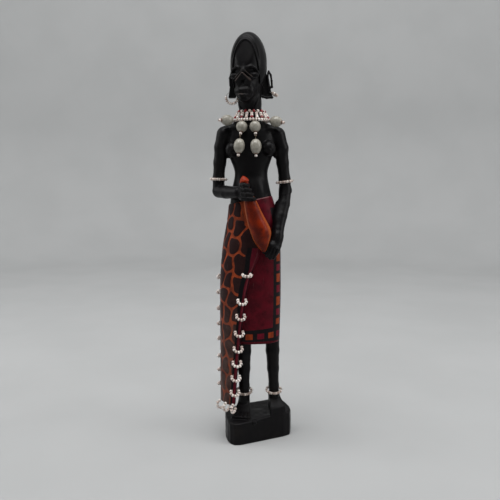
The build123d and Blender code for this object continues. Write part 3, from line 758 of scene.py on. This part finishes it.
def carve_torso():
    b = Block((-48, -40, 182), (38, 20, 324), 0.55)
    b.put(lambda p: sections(p, TORSO_ROWS))
    b.put(lambda p: np.sqrt((p[0] - NECK[0]) ** 2 + (p[1] - NECK[1]) ** 2) - (9.7 + 0.02 * (342 - p[2])),
          ((-20, -12, 304), (8, 16, 324)), 3.5)
    b.rod([(-28.0, 2.0, 308.5, 4.6), (-8.0, 3.0, 314.0, 5.0), (16.0, 2.0, 308.0, 4.6)], 5.0)
    b.rod(RIGHT_ARM, 2.2)
    b.rod(LEFT_ARM, 2.2)
    # filled armpits, breasts with the cuts under them, belly, and the lines down chest and back
    b.rod([(-28.0, 2.0, 291.0, 4.6), (-27.8, 2.0, 284.8, 3.4)], 1.5)
    b.rod([(18.8, 2.0, 291.0, 4.6), (18.6, 2.0, 284.6, 3.4)], 1.5)
    b.ball((-24.4, -9.8, 289.2), (6.0, 6.5, 7.2), 2.0)
    b.ball((11.0, -10.4, 290.4), (6.4, 7.0, 7.2), 2.2)
    b.ball((-25.2, -15.6, 287.4), (1.1, 1.2, 1.2), 0.9)
    b.ball((11.8, -16.6, 288.6), (1.1, 1.3, 1.2), 0.9)
    b.rod([(-18.6, -14.4, 283.4, 1.0), (-22.6, -15.4, 281.8, 1.4), (-28.0, -12.0, 283.0, 1.0)], 1.2, "cut")
    b.rod([(6.2, -14.4, 285.0, 1.0), (11.0, -15.4, 282.8, 1.4), (16.0, -12.0, 284.0, 1.0)], 1.2, "cut")
    b.ball((-5.6, -8.0, 250.0), (12.0, 6.8, 13.0), 4.0)
    b.rod([(-5.9, -15.8, 301.0, 0.9), (-5.9, -15.2, 286.0, 0.9), (-5.9, -15.4, 268.0, 0.8)], 3.0, "cut")
    b.rod([(-5.5, 17.4, 306.0, 1.3), (-5.0, 16.5, 270.0, 1.3), (-4.0, 18.5, 246.0, 1.2)], 4.0, "cut")
    b.keep(lambda p: waist_height(p[0]) - 1.0 - p[2])
    # below the waist only the forearms and the hands go on
    b.rod(RIGHT_FOREARM, 1.0)
    b.rod(LEFT_ARM[LEFT_ELBOW:], 1.0)
    carve_right_hand(b)
    carve_left_hand(b)
    b.put(lambda p: gourd_field(p, -0.25), ((-18, -37, 190), (16, -18, 266)), 0.0, "cut")
    b.keep(lambda p: p[2] - TRUNK_TOP_Z)
    return b


def carve_right_hand(b):
    """Fist closed round the gourd's neck: four stacked fingers and the thumb above."""
    b.ball((-12.6, -25.6, 248.8), (5.0, 6.2, 8.8), 2.0)
    for i in range(4):
        z = 255.6 - 4.15 * i
        b.rod([(-15.2, -26.0, z + 0.4, 2.3), (-14.2 + 0.3 * i, -31.6, z + 0.2, 2.35),
               (-12.2 + 1.1 * i, -34.3, z - 0.1, 2.3), (-10.0 + 1.7 * i, -33.4, z - 0.5, 2.2),
               (-9.0 + 2.0 * i, -29.6, z - 0.7, 2.1)], 0.3)
    b.rod([(-14.6, -24.0, 253.6, 2.6), (-11.0, -22.4, 255.6, 2.2), (-8.6, -23.4, 255.8, 1.9)], 0.8)


def carve_left_hand(b):
    """Open hand under the gourd, four long fingers pointing down and inwards."""
    b.rod([(19.8, -17.4, 207.0, 4.9), (18.0, -19.8, 199.0, 5.4)], 3.0)
    tips = [(6.4, -25.6, 192.6), (9.0, -26.8, 189.4), (12.2, -27.0, 187.0), (15.4, -25.8, 187.2)]
    starts = [(16.4, -18.4, 207.0), (18.2, -19.0, 206.6), (20.0, -18.8, 205.2), (21.4, -17.4, 203.2)]
    for s, e in zip(starts, tips):
        mid = tuple((s[i] + e[i]) / 2 + (0.8, -1.0, -0.6)[i] for i in range(3))
        b.rod([s + (2.0,), mid + (2.2,), e + (1.9,)], 1.8)
    b.ball((13.4, -22.6, 194.6), (7.4, 5.0, 7.6), 1.6)
    for n in range(3):
        # a groove between each finger and the next
        top, end = (tuple((ends[n][i] + ends[n + 1][i]) / 2 for i in range(3)) for ends in (starts, tips))
        middle = tuple((top[i] + end[i]) / 2 + (0.8, -3.6, -0.6)[i] for i in range(3))
        b.rod([(top[0], top[1] - 2.6, top[2] - 3.0, 0.4), middle + (0.55,),
               (end[0], end[1] - 2.2, end[2] - 1.6, 0.6)], 0.6, "cut")
    # the uncut wood between the forearm and the hip
    b.rod([(20.6, -3.0, 236.5, 3.2), (20.0, -9.0, 222.0, 4.4), (18.2, -13.8, 208.0, 4.4)], 4.0)


# ---- skirt and shawl
def cloth_section(z):
    """Centre and half widths of the section under the cloth: (x, y, a, b)."""
    x0, x1, y0, y1 = curve_rows(SHAWL_ROWS, z)
    return (x0 + x1) / 2, (y0 + y1) / 2, (x1 - x0) / 2, (y1 - y0) / 2


def cloth_angle(x, y, z):
    """Angle from straight ahead towards the figure's right, degrees."""
    cx, cy, a, b = cloth_section(z)
    return np.degrees(np.arctan2(-(x - cx) / a, -(y - cy) / b))


def carve_skirt():
    b = Block((-40, -24, 96), (32, 30, 252), 0.6)
    b.put(lambda p: sections(p, SKIRT_ROWS))
    # soft folds falling from the waist, deeper towards the hem and the back
    cut, p = b.whole()
    angle = np.degrees(np.arctan2(-(p[0] + 4.2) / 28.0, -(p[1] - 3.0) / 21.0))
    fold = 0.35 * np.cos(np.radians(angle * 5 + 24)) + 0.2 * np.cos(np.radians(angle * 9 + 80))
    depth = smooth_step(235, 130, p[2]) * (0.45 + 0.55 * smooth_step(60, 140, np.abs(angle)))
    b.d[cut] += (fold * depth).astype(np.float32)
    b.keep(lambda p: p[2] - waist_height(p[0]), 1.4)
    b.keep(lambda p: HEM_Z - p[2], 2.2)
    # a hollow under the hem, and room for the calabash
    b.put(lambda p: sections(p, SKIRT_ROWS, -2.4), ((-40, -24, 90), (32, 30, HEM_Z + 1.5)), 0.8, "cut")
    b.put(lambda p: gourd_field(p, -0.2), GOURD_BOX, 0.0, "cut")
    return b


SKIRT_RADIUS, CLOTH_RADIUS = 25.5, 28.0     # these turn angles into widths on the skirt and on the shawl
PANEL_SQUARES = [
    # (z, half height), orange and red in turn
    (185.0, 3.6), (175.4, 3.2), (165.0, 4.2), (154.2, 3.6), (142.0, 4.3), (131.0, 3.2), (121.4, 3.0),
]
HEM_SQUARES, HEM_PITCH = 12, 10.7


def rect_distance(u, v, cu, cv, half_u, half_v):
    return np.maximum(np.abs(u - cu) - half_u, np.abs(v - cv) - half_v)


def skirt_marks(v):
    x, y, z = v[:, 0], v[:, 1], v[:, 2]
    arc = -cloth_angle(x, y, z) * math.pi / 180 * SKIRT_RADIUS
    side = rect_distance(arc, z, 28.2, 168.0, 8.0, 66.0)
    top = 115.2 + 0.09 * (x - 4.5)
    band = np.minimum(side, np.maximum(z - top, 102.8 - z))
    panel = [rect_distance(arc, z, 28.6, height, 3.9, half) for height, half in PANEL_SQUARES]
    hem_z = z - 0.05 * x
    hem = [rect_distance(arc, hem_z, HEM_PITCH * (i - 4) - 3.2, 108.0, 3.3, 2.9) for i in range(HEM_SQUARES)]
    far = np.full(len(z), 9.0)
    orange = np.minimum.reduce([far] + panel[::2] + hem[::2])
    red = np.minimum.reduce([far] + panel[1::2] + hem[1::2])
    # where the painted highlight runs: along the top edge at the waist, front only
    rim = np.abs(z - waist_height(x) + 0.4) + 9.0 * smooth_step(-8.0, -4.0, y)
    return {"band": band, "orange": orange, "red": red, "rim": rim}


GIRAFFE = [
    # (degrees from straight ahead, z) of the spots on the front, top to bottom
    (42, 231), (61, 235), (36, 215.5), (55, 219), (42, 198.5), (13, 201), (61, 202), (51, 180.5),
    (23.5, 178.5), (71, 185), (49, 163), (25.5, 160), (68, 167), (38, 145.5), (59, 148), (28, 131),
    (50, 130), (70, 133),
]
GIRAFFE_GAP = 11.0      # least distance of a further spot from those
SPOT_SQUASH = 0.8       # heights count for less, so spots are taller than wide


def giraffe_centres():
    """Spots in (arc, z): those above, and staggered rows over the rest of the cloth."""
    centres = [(math.radians(a) * CLOTH_RADIUS, z) for a, z in GIRAFFE]
    front = list(centres)
    rng = np.random.default_rng(7)
    for row in range(15):
        for column in range(9):
            spot = (-6.0 + 12.8 * column + 6.4 * (row % 2), 26.0 + 17.0 * row)
            spot = (spot[0] + rng.uniform(-1.9, 1.9), spot[1] + rng.uniform(-2.6, 2.6))
            gaps = [math.hypot(spot[0] - c[0], (spot[1] - c[1]) * SPOT_SQUASH) for c in front]
            if min(gaps) > GIRAFFE_GAP:
                centres.append(spot)
    return centres


SPOTS = giraffe_centres()


def gourd_front(x, z):
    """Distance from the calabash's outline, seen from the front."""
    ax, az = GOURD_TOP[0], GOURD_TOP[2]
    dx, dz = GOURD_FOOT[0] - ax, GOURD_FOOT[2] - az
    length = math.hypot(dx, dz)
    along = ((x - ax) * dx + (z - az) * dz) / length
    side = np.abs((x - ax) * dz - (z - az) * dx) / length
    a, r = (np.array(v) for v in zip(*GOURD_OUTLINE))
    return np.maximum(side - np.interp(along, a, r), 0.0)


def giraffe_lines(x, y, z):
    """How far a point is from the line between its two nearest spots."""
    arc = np.radians(cloth_angle(x, y, z)) * CLOTH_RADIUS
    arc = arc + 1.1 * np.sin(z * 0.31 + arc * 0.2)
    zz = (z + 1.2 * np.sin(arc * 0.33 + z * 0.1)) * SPOT_SQUASH
    first, second, third = (np.full(arc.shape, 1e9) for _ in range(3))
    for ca, cz in SPOTS:
        d = np.sqrt((arc - ca) ** 2 + (zz - cz * SPOT_SQUASH) ** 2)
        third = np.minimum(third, np.maximum(second, d))
        second = np.minimum(second, np.maximum(first, d))
        first = np.minimum(first, d)
    rounded = second - first - 1.3 * np.maximum(0, 1 - (third - first) / 4.5)
    beside_gourd = (gourd_front(x, z) - 0.4) * 1.1 + 9 * smooth_step(218, 212, z)
    return np.minimum(rounded, beside_gourd)


def front_edge_field(p):
    """Distance past the cut face of the shawl's front edge."""
    edge = edge_x(p[2][0, 0]).astype(np.float32)[None, None, :]
    return (p[0] - EDGE_SLOPE * (p[1] - EDGE_Y) - edge) / math.hypot(1, EDGE_SLOPE)


def carve_shawl():
    b = Block((-42, -28, 33), (20, 14, 252), 0.55)
    cut, p = b.whole()
    outer = sections(p, SHAWL_ROWS, SHAWL_THICKNESS)
    inner = sections(p, SHAWL_ROWS, -0.6)
    b.d[cut] = np.maximum(outer, -np.where(p[2] < HEM_Z, sections(p, SHAWL_ROWS, 0.4), inner))
    b.keep(front_edge_field, 1.2)
    b.keep(lambda q: q[1] - SHAWL_REAR_Y, 1.6)
    b.keep(lambda q: SHAWL_BOTTOM_Z + 0.4 * np.sin(q[0] * 0.5) - q[2], 1.6)
    b.keep(lambda q: q[2] - waist_height(q[0]) - 0.2, 1.2)
    b.put(lambda q: gourd_field(q, -0.2), GOURD_BOX, 0.0, "cut")
    # the knife lines between the spots
    live = np.argwhere(np.abs(b.d) < 1.6)
    x, y, z = (b.axes[i][live[:, i]] for i in range(3))
    line = giraffe_lines(x, y, z)
    edge_at = edge_distance(x, y, z)
    groove = 0.3 * (1 - smooth_step(1.4, 3.0, line)) * smooth_step(5.0, 7.0, edge_at)
    outside = above_section(x, y, z) > 1.5
    b.d[tuple(live.T)] += (groove * outside).astype(np.float32)
    return b


def above_section(x, y, z):
    """How far points stand out from the section under the cloth."""
    cx, cy, a, b = cloth_section(z)
    k = np.sqrt(((x - cx) / a) ** 2 + ((y - cy) / b) ** 2)
    return (k - 1) * np.minimum(a, b)


def edge_distance(x, y, z):
    """Distance on the cloth from the shawl's free front edge, measured level."""
    cx, cy, a, b = cloth_section(z)
    a, b = a + SHAWL_THICKNESS, b + SHAWL_THICKNESS
    ex, ey = edge_x(z) - cx, EDGE_Y - cy
    m = EDGE_SLOPE
    # the corner is where the cut face's line meets the outer ellipse: a quadratic in the depth t
    qa, qb = m * m / a**2 + 1 / b**2, 2 * (m * ex / a**2 + ey / b**2)
    qc = ex * ex / a**2 + ey * ey / b**2 - 1
    t = (-qb - np.sqrt(np.maximum(qb * qb - 4 * qa * qc, 0))) / (2 * qa)
    corner_x, corner_y = cx + ex + m * t, cy + ey + t
    return np.hypot(x - corner_x, y - corner_y)


STRIP_WIDTH, WIDER_BY_THE_HAND = 2.0, 3.6
STRIP_TOP_Z = 196.5     # the strip ends here, where the calabash begins


def shawl_marks(v):
    x, y, z = v[:, 0], v[:, 1], v[:, 2]
    edge = edge_distance(x, y, z)
    inside = above_section(x, y, z) < 1.0
    # the red strip's black border is narrower towards the bottom
    strip = STRIP_WIDTH + WIDER_BY_THE_HAND * smooth_step(172, 190, z)
    border = (edge - strip) * (1 + 0.9 * smooth_step(150, 122, z))
    edge_mark = np.where(z < STRIP_TOP_Z, np.where(edge > strip, border, edge - strip), 20.0)
    edge_mark = np.where(inside, np.minimum(edge_mark, -1.0), edge_mark)
    by_hand = smooth_step(12.0, 9.0, edge) * smooth_step(184, 187, z) * smooth_step(212, 206, z)
    # rim: distance from the free front edge, which carries that pale line
    return {"cells": giraffe_lines(x, y, z) + 5 * by_hand, "edge": edge_mark, "rim": edge,
            # greyer and paler towards the bottom
            "paler_lower_down": smooth_step(175, 70, z)}


# ---- gourd, legs and plinth
def carve_gourd():
    b = Block((-20, -38, 190), (17, -17, 267), 0.4)
    b.put(gourd_field)
    cut, p = b.whole()
    b.d[cut] += (0.22 * value_noise(p[0] / 5, p[1] / 5, p[2] / 9, 3)).astype(np.float32)
    return b


def gourd_marks(v):
    axis = np.array(GOURD_FOOT - GOURD_TOP)
    axis /= np.linalg.norm(axis)
    rel = v - np.array(GOURD_TOP)
    along = rel @ axis
    across = rel - along[:, None] * axis
    side = across[:, 0] * axis[2] * -1 + across[:, 2] * axis[0]
    radius = np.maximum(np.linalg.norm(across, axis=1), 0.1)
    # painted highlight at the sides as seen from the front
    rim = smooth_step(0.72, 0.97, np.abs(side) / radius)
    # painted shade down the middle that faces the front
    core = 1 - smooth_step(0.15, 0.55, np.abs(side + 0.8) / radius)
    return {"wear_and_highlight": rim * smooth_step(16, 24, along), "neck": 1 - smooth_step(6, 9, along),
            "core": core * smooth_step(20, 34, along)}


RIGHT_LEG = [
    (-13.4, 2.0, 106.0, 8.2), (-13.2, 2.2, 88.0, 7.1), (-13.0, 2.6, 70.0, 6.0), (-12.8, 3.0, 52.0, 5.1),
    (-12.9, 3.2, 42.0, 5.2), (-13.0, 3.4, 30.0, 6.0),
]
LEFT_LEG = [
    (15.6, 6.0, 106.0, 7.4), (16.0, 6.2, 88.0, 6.7), (16.6, 6.6, 69.0, 5.8), (17.4, 7.0, 51.0, 5.0),
    (17.7, 7.2, 42.0, 5.1), (18.0, 7.4, 30.0, 5.8),
]
# a foot from toes to heel: how far behind the ankle, half its width, and its height above the ground
FOOT_Y = (-19.0, -12.0, -3.0, 2.0, 7.0)
FOOT_HALF_WIDTH = (9.6, 8.8, 6.2, 5.2, 4.4)
FOOT_TOP = (2.2, 4.4, 11.5, 17.0, 16.0)
# ankle (x, y), degrees the toes are splayed, height of the plinth under the foot
FEET = [((-13.0, 3.0), -10.0, 24.2), ((18.0, 7.4), 18.0, 27.4)]
PLINTH_OUTLINE = [
    (-32.5, 6.0), (-31.6, -4.0), (-29.5, -14.0), (-26.6, -20.4), (-22.0, -24.2), (-16.0, -23.6),
    (-8.0, -20.0), (14.0, -9.5), (27.0, -3.4), (33.4, 1.2), (35.0, 6.5), (34.2, 13.0), (28.0, 24.4),
    (20.0, 28.2), (12.0, 28.6), (-10.0, 22.0), (-26.0, 13.0),
]
PLINTH_TOP_Z, PLINTH_TILT = 22.6, 6.5       # height of its top 20 mm in front of the middle, degrees


def carve_lower():
    b = Block((-36, -29, -2), (38, 33, 108), 0.55)
    cut, p = b.window(((-36, -29, -2), (38, 33, 40)), 0)
    outline = polygon(p[0], p[1], PLINTH_OUTLINE)
    coarse = value_noise(p[0] / 11, p[1] / 11, p[2] / 9, 11)
    fine = value_noise(p[0] / 4.2, p[1] / 4.2, p[2] / 5, 4)
    lumps = coarse * 0.55 + fine * 0.22
    slope = math.tan(math.radians(PLINTH_TILT))
    top = (p[2] - PLINTH_TOP_Z - (p[1] + 20) * slope - 0.02 * p[0]) + 0.9 * lumps
    block = smooth_max(outline + 0.5 * lumps * smooth_step(0, 6, p[2]), top, 2.6)
    b.d[cut] = np.minimum(b.d[cut], smooth_max(block, -p[2], 0.6)).astype(np.float32)
    # a knot and a drip of old wax at the front edge, and a few gouges
    b.ball((-2.5, -18.2, 21.0), (2.0, 1.6, 2.2), 0.8)
    b.rod([(-3.8, -19.0, 19.0, 0.5), (-2.4, -19.3, 17.4, 0.5), (-1.0, -18.6, 19.2, 0.5)], 0.6, "cut")
    b.rod([(-24, -25.0, 20.0, 0.7), (-15, -24.4, 18.6, 0.7)], 1.0, "cut")
    b.rod([(6, -13.8, 20.5, 0.6), (20, -7.4, 21.0, 0.6)], 0.9, "cut")
    for leg in (RIGHT_LEG, LEFT_LEG):
        b.rod(leg, 2.0)
        x, y, z, r = leg[2]
        b.ball((x, y + 2.8, z + 8), (5.0, 4.6, 13.0), 3.0)
    for (x, y), splay, ground in FEET:
        t = Turn((x, y), splay)

        def wedge(p, t=t, ground=ground):
            lx, ly, z = t.into(p)
            half = np.interp(ly, FOOT_Y, FOOT_HALF_WIDTH)
            top = ground + np.interp(ly, FOOT_Y, FOOT_TOP)
            sides = smooth_max(np.abs(lx) - half, (z - top) * 0.75, 1.6)
            foot = smooth_max(sides, np.maximum(FOOT_Y[0] - ly, ly - FOOT_Y[-1]), 1.4)
            return np.maximum(foot, polygon(p[0], p[1], PLINTH_OUTLINE) + 0.6)

        b.put(wedge, ((x - 17, y - 24, 18), (x + 17, y + 12, 48)), 1.0)
        for i in range(4):
            tx = -5.6 + 3.7 * i
            b.rod([(tx * 0.85, -11.5, ground + 5.6, 0.5), (tx, -14.5, ground + 3.8, 0.75),
                   (tx * 1.05, -20.0, ground + 1.6, 0.8)], 0.5, "cut", turn=t)
        # the cut where the toes meet the ground of the plinth
        b.rod([(-10.5, -19.4, ground - 0.2, 0.7), (10.5, -19.4, ground - 0.2, 0.7)], 0.8, "cut", turn=t)
    b.keep(lambda p: p[2] - HEM_Z - 3.0)
    return b


# ---- beads, wires and nuts
def islands(node):
    """The separate closed meshes of a CAD node, in millimetres: [(vertices, faces), ...]."""
    mesh = frame["nodes"][node].data
    co = np.empty(len(mesh.vertices) * 3, np.float32)
    mesh.vertices.foreach_get("co", co)
    co = co.reshape(-1, 3) / MM
    mesh.calc_loop_triangles()
    tri = np.empty(len(mesh.loop_triangles) * 3, np.int32)
    mesh.loop_triangles.foreach_get("vertices", tri)
    # corners at one place become one vertex
    key = np.round(co * 2000).astype(np.int64)
    _, first, same = np.unique(key, axis=0, return_index=True, return_inverse=True)
    co, tri = co[first], same.reshape(-1)[tri].reshape(-1, 3)
    tri = tri[(tri[:, 0] != tri[:, 1]) & (tri[:, 1] != tri[:, 2]) & (tri[:, 0] != tri[:, 2])]
    label = np.arange(len(co))
    while True:
        low = label[tri].min(axis=1)
        new = label.copy()
        for c in range(3):
            np.minimum.at(new, tri[:, c], low)
        new = new[new]
        if (new == label).all():
            break
        label = new
    found = []
    tri_label = label[tri[:, 0]]
    for value in np.unique(tri_label):
        faces = tri[tri_label == value]
        used, renumbered = np.unique(faces, return_inverse=True)
        found.append((co[used], renumbered.reshape(-1, 3)))
    return found


def bead_frame(verts):
    """Centre of a bead, direction of its hole (the spread unlike the other two) and its reach."""
    centre = verts.mean(axis=0)
    rel = verts - centre
    values, vectors = np.linalg.eigh(rel.T @ rel)
    spread = np.diff(values)
    odd = 0 if spread[0] > spread[1] else 2
    return centre, vectors[:, odd], np.linalg.norm(rel, axis=1).max()


BEAD_PROFILE_STEPS, BEAD_SIDES = 14, 18
BEAD_HOLE = 0.36                                            # radius, mm
LARGE_BEAD, SMALL_BEAD = (1.5, 2.1), (1.38, 1.56)           # (radius, length), mm
NUT_ROWS, NUT_SIDES = 30, 44


def bead_shape(radius, length, bulge):
    """Lathe profile of a rounded bead with a hole, as (radius, height) points."""
    points = []
    mid, half = (radius + BEAD_HOLE) / 2, (radius - BEAD_HOLE) / 2
    for i in range(BEAD_PROFILE_STEPS):
        a = 2 * math.pi * i / BEAD_PROFILE_STEPS
        out, up = (math.copysign(abs(v) ** bulge, v) for v in (math.cos(a), math.sin(a)))
        points.append((mid + half * out, length / 2 * up))
    return points


def ring_faces(rings, sides):
    """Faces from each ring of vertices to the next, and from the last to the first."""
    faces = []
    for i in range(rings):
        for j in range(sides):
            k, above = (j + 1) % sides, (i + 1) % rings * sides
            faces.append((i * sides + j, i * sides + k, above + k, above + j))
    return np.array(faces)


def basis(direction):
    """Two directions square to this one, and this one at unit length."""
    d = np.array(direction, float)
    d /= np.linalg.norm(d)
    side = np.cross(d, (0.31, 0.17, 0.94) if abs(d[2]) < 0.8 else (1.0, 0.2, 0.1))
    side /= np.linalg.norm(side)
    return side, np.cross(d, side), d


def lathe(profile, centre, direction, sides):
    u, v, d = basis(direction)
    verts = []
    for r, h in profile:
        for j in range(sides):
            a = 2 * math.pi * j / sides
            verts.append(centre + u * (r * math.cos(a)) + v * (r * math.sin(a)) + d * h)
    return np.array(verts), ring_faces(len(profile), sides)


def bead_piece(name, body, replaced, beads, material, seed):
    """Many beads as one piece; every bead differs a little in size and tint."""
    rng = np.random.default_rng(seed)
    all_verts, all_faces, tints, offset = [], [], [], 0
    for centre, direction, large in beads:
        radius, length = LARGE_BEAD if large else SMALL_BEAD
        radius *= rng.uniform(0.95, 1.04)
        length *= rng.uniform(0.9, 1.0)
        profile = bead_shape(radius, length, rng.uniform(0.85, 1.0))
        verts, faces = lathe(profile, centre, direction, BEAD_SIDES)
        all_verts.append(verts)
        all_faces.append(faces + offset)
        offset += len(verts)
        tints.append(np.full(len(verts), rng.uniform(0, 1)))
    obj = make_mesh(name, np.concatenate(all_verts), np.concatenate(all_faces))
    attribute(obj, "tint", np.concatenate(tints))
    place(obj, material, body, [replaced])


BEAD_SPAN = 3.6      # anything wider than this in a node is wire, mm
SMALL_SPAN = 1.3     # beads with a smaller reach than this are the small size


def sort_node(node):
    """A node's beads, as (centre, hole direction, is it large), and its wires, as (vertices, faces)."""
    beads, wires = [], []
    for verts, faces in islands(node):
        if np.ptp(verts, axis=0).max() > BEAD_SPAN:
            wires.append((verts, faces))
        else:
            centre, axis, reach = bead_frame(verts)
            beads.append((centre, axis, reach > SMALL_SPAN))
    centres = np.array([bead[0] for bead in beads])
    for i, (centre, axis, large) in enumerate(beads):
        if not large and len(beads) > 2:
            # a small bead's hole runs along the strand, from one neighbour to the other
            near = centres[np.argsort(np.linalg.norm(centres - centre, axis=1))[1:3]] - centre
            along = near[0] - near[1] if near[0] @ near[1] < 0 else near[0]
            beads[i] = (centre, along / np.linalg.norm(along), large)
    return beads, wires


def nut_piece(node, bead_at, seed):
    """A hard nut: rounded pear with a puckered brown tip, a seam and fine ribs."""
    (verts, _), = islands(node)
    centre = (verts.min(axis=0) + verts.max(axis=0)) / 2
    centre = verts.mean(axis=0) * 0.5 + centre * 0.5
    direction = bead_at - centre
    direction /= np.linalg.norm(direction)
    rel = verts - centre
    half = np.abs(rel @ direction).max()
    radius = np.linalg.norm(rel - np.outer(rel @ direction, direction), axis=1).max()
    u, v, d = basis(direction)
    points, along = [], []
    for i in range(NUT_ROWS + 1):
        angle = math.pi * (i / NUT_ROWS)
        h = -math.cos(angle)
        r = math.sin(angle) ** 0.92
        r *= 1.0 - 0.13 * smooth_step(0.1, 1.0, h) + 0.03 * smooth_step(0.2, -0.6, h)
        r = max(r, 0.075)
        for j in range(NUT_SIDES):
            a = 2 * math.pi * j / NUT_SIDES
            seam = 0.012 * math.exp(-((math.cos(a * 0.5 + 0.4) / 0.06) ** 2))
            rib = 1 + 0.006 * math.cos(9 * a + seed) - seam
            lump = 1 + 0.02 * math.sin(2.3 * a + seed) * math.sin(angle * 1.7 + seed)
            rr = radius * r * rib * lump
            points.append(centre + u * rr * math.cos(a) + v * rr * 0.96 * math.sin(a) + d * h * half)
            along.append(h)
    # a narrow hole through the nut joins the two ends
    obj = make_mesh(f"{node}_shell", np.array(points), ring_faces(NUT_ROWS + 1, NUT_SIDES))
    attribute(obj, "along", along)
    place(obj, NUT_SHELL, BODY_OF[node], [node])


def make_beadwork():
    bead_centre = {}
    for seed, node in enumerate(sorted(frame["nodes"])):
        body = BODY_OF[node]
        if node.startswith("shawl_"):
            beads, wires = sort_node(node)
            bead_piece(f"{node}_beads", body, node, beads, WHITE_GLASS, seed)
            for verts, faces in wires:
                place(make_mesh(f"{node}_wire", verts, faces), WIRE, body, [node])
        elif node.endswith("_beads"):
            beads, _ = sort_node(node)
            glass_kind, slot = WHITE_GLASS, "white_glass"
            if node == "collar_red_beads":
                glass_kind, slot = RED_GLASS, "red_glass"
            elif any(part in node for part in ("armlet", "anklet", "earring")):
                glass_kind = OLD_GLASS
            bead_piece(f"{node}_glass", body, node, beads, glass_kind, seed)
            bead_centre[node] = beads[0][0]
        elif node.endswith("_wire"):
            obj = frame["nodes"][node]
            obj.data.materials.clear()
            obj.data.materials.append(WIRE)
    for seed, node in enumerate(sorted(n for n in frame["nodes"] if n.endswith("_nut"))):
        nut_piece(node, bead_centre[node.replace("_nut", "_beads")], seed)


# ---- the object
carve(carve_head(), "head", "upper_figure", HEAD_WOOD, head_marks)
carve(carve_torso(), "trunk_and_arms", "upper_figure", BLACK_WOOD)
carve(carve_skirt(), "skirt", "skirt_wrap", SKIRT_PAINT, skirt_marks)
carve(carve_shawl(), "shawl", "giraffe_shawl", SHAWL_PAINT, shawl_marks)
carve(carve_gourd(), "calabash", "gourd", GOURD_STAIN, gourd_marks)
carve(carve_lower(), "legs_and_base", "plinth_and_legs", PLINTH_WOOD)
make_beadwork()


# ---- stage, light and camera
def stage():
    """A pale studio bowl: level floor that curves up into a wall all round."""
    n = Nodes("pale_floor")
    tone = n.noise(160, 3, 0.5)
    grey = n.mix(n.range(tone, 0.3, 0.7), (0.405, 0.41, 0.41, 1), (0.425, 0.43, 0.43, 1))
    n.set(Base_Color=grey, Roughness=0.8, Specular_IOR_Level=0.2)
    profile = [(1.0, 0.0), (400.0, 0.0), (FLOOR_RADIUS, 0.0)]
    for i in range(1, 13):
        a = math.pi / 2 * i / 12
        profile.append((FLOOR_RADIUS + WALL_BEND * math.sin(a), WALL_BEND * (1 - math.cos(a))))
    profile.append((FLOOR_RADIUS + WALL_BEND, WALL_TOP))
    sides = 72
    verts = [
        (r * math.cos(2 * math.pi * j / sides), r * math.sin(2 * math.pi * j / sides), z)
        for r, z in profile for j in range(sides)
    ]
    # the bowl is open at the top and in the middle, so its last ring does not join the first
    floor = make_mesh("backdrop", np.array(verts, float), ring_faces(len(profile), sides)[:-sides])
    floor.data.materials.append(n.material)


def area_light(name, location, target, size, power):
    light = bpy.data.lights.new(name, "AREA")
    light.shape = "RECTANGLE"
    light.size, light.size_y = size
    light.energy = power
    obj = bpy.data.objects.new(name, light)
    obj.location = Vector(location)
    obj.rotation_euler = (Vector(target) - Vector(location)).to_track_quat("-Z", "Y").to_euler()
    bpy.context.collection.objects.link(obj)


FLOOR_RADIUS, WALL_BEND, WALL_TOP = 1300.0, 500.0, 3200.0
stage()
TARGET = (-0.005, 0.0, 0.22)        # the lights and the camera are placed in metres
area_light("softbox_top", (-0.15, -0.45, 1.45), TARGET, (1.1, 0.9), 9.6)
area_light("softbox_left", (-1.2, 0.1, 0.8), TARGET, (0.6, 1.0), 4.2)
area_light("softbox_right", (1.2, -0.35, 0.75), TARGET, (0.6, 1.0), 6.0)
area_light("wall_wash", (0.0, -0.1, 2.6), (0.0, 1.8, 1.3), (2.4, 2.0), 47.0)

world = bpy.data.worlds.new("studio")
world.use_nodes = True
world.node_tree.nodes["Background"].inputs["Color"].default_value = (0.95, 0.97, 1.0, 1)
world.node_tree.nodes["Background"].inputs["Strength"].default_value = 0.25
bpy.context.scene.world = world
bpy.context.scene.view_settings.view_transform = "Standard"

CAMERA_AT, CAMERA_DOWN = (-0.007, -0.590, 0.2603), 6.65      # degrees below level
camera_data = bpy.data.cameras.new("camera")
camera_data.sensor_width, camera_data.lens = 36.0, 43.2
camera_data.clip_start = 0.01
camera = bpy.data.objects.new("camera", camera_data)
camera.location = CAMERA_AT
camera.rotation_euler = (math.radians(90 - CAMERA_DOWN), 0, 0)
bpy.context.collection.objects.link(camera)
bpy.context.scene.camera = camera
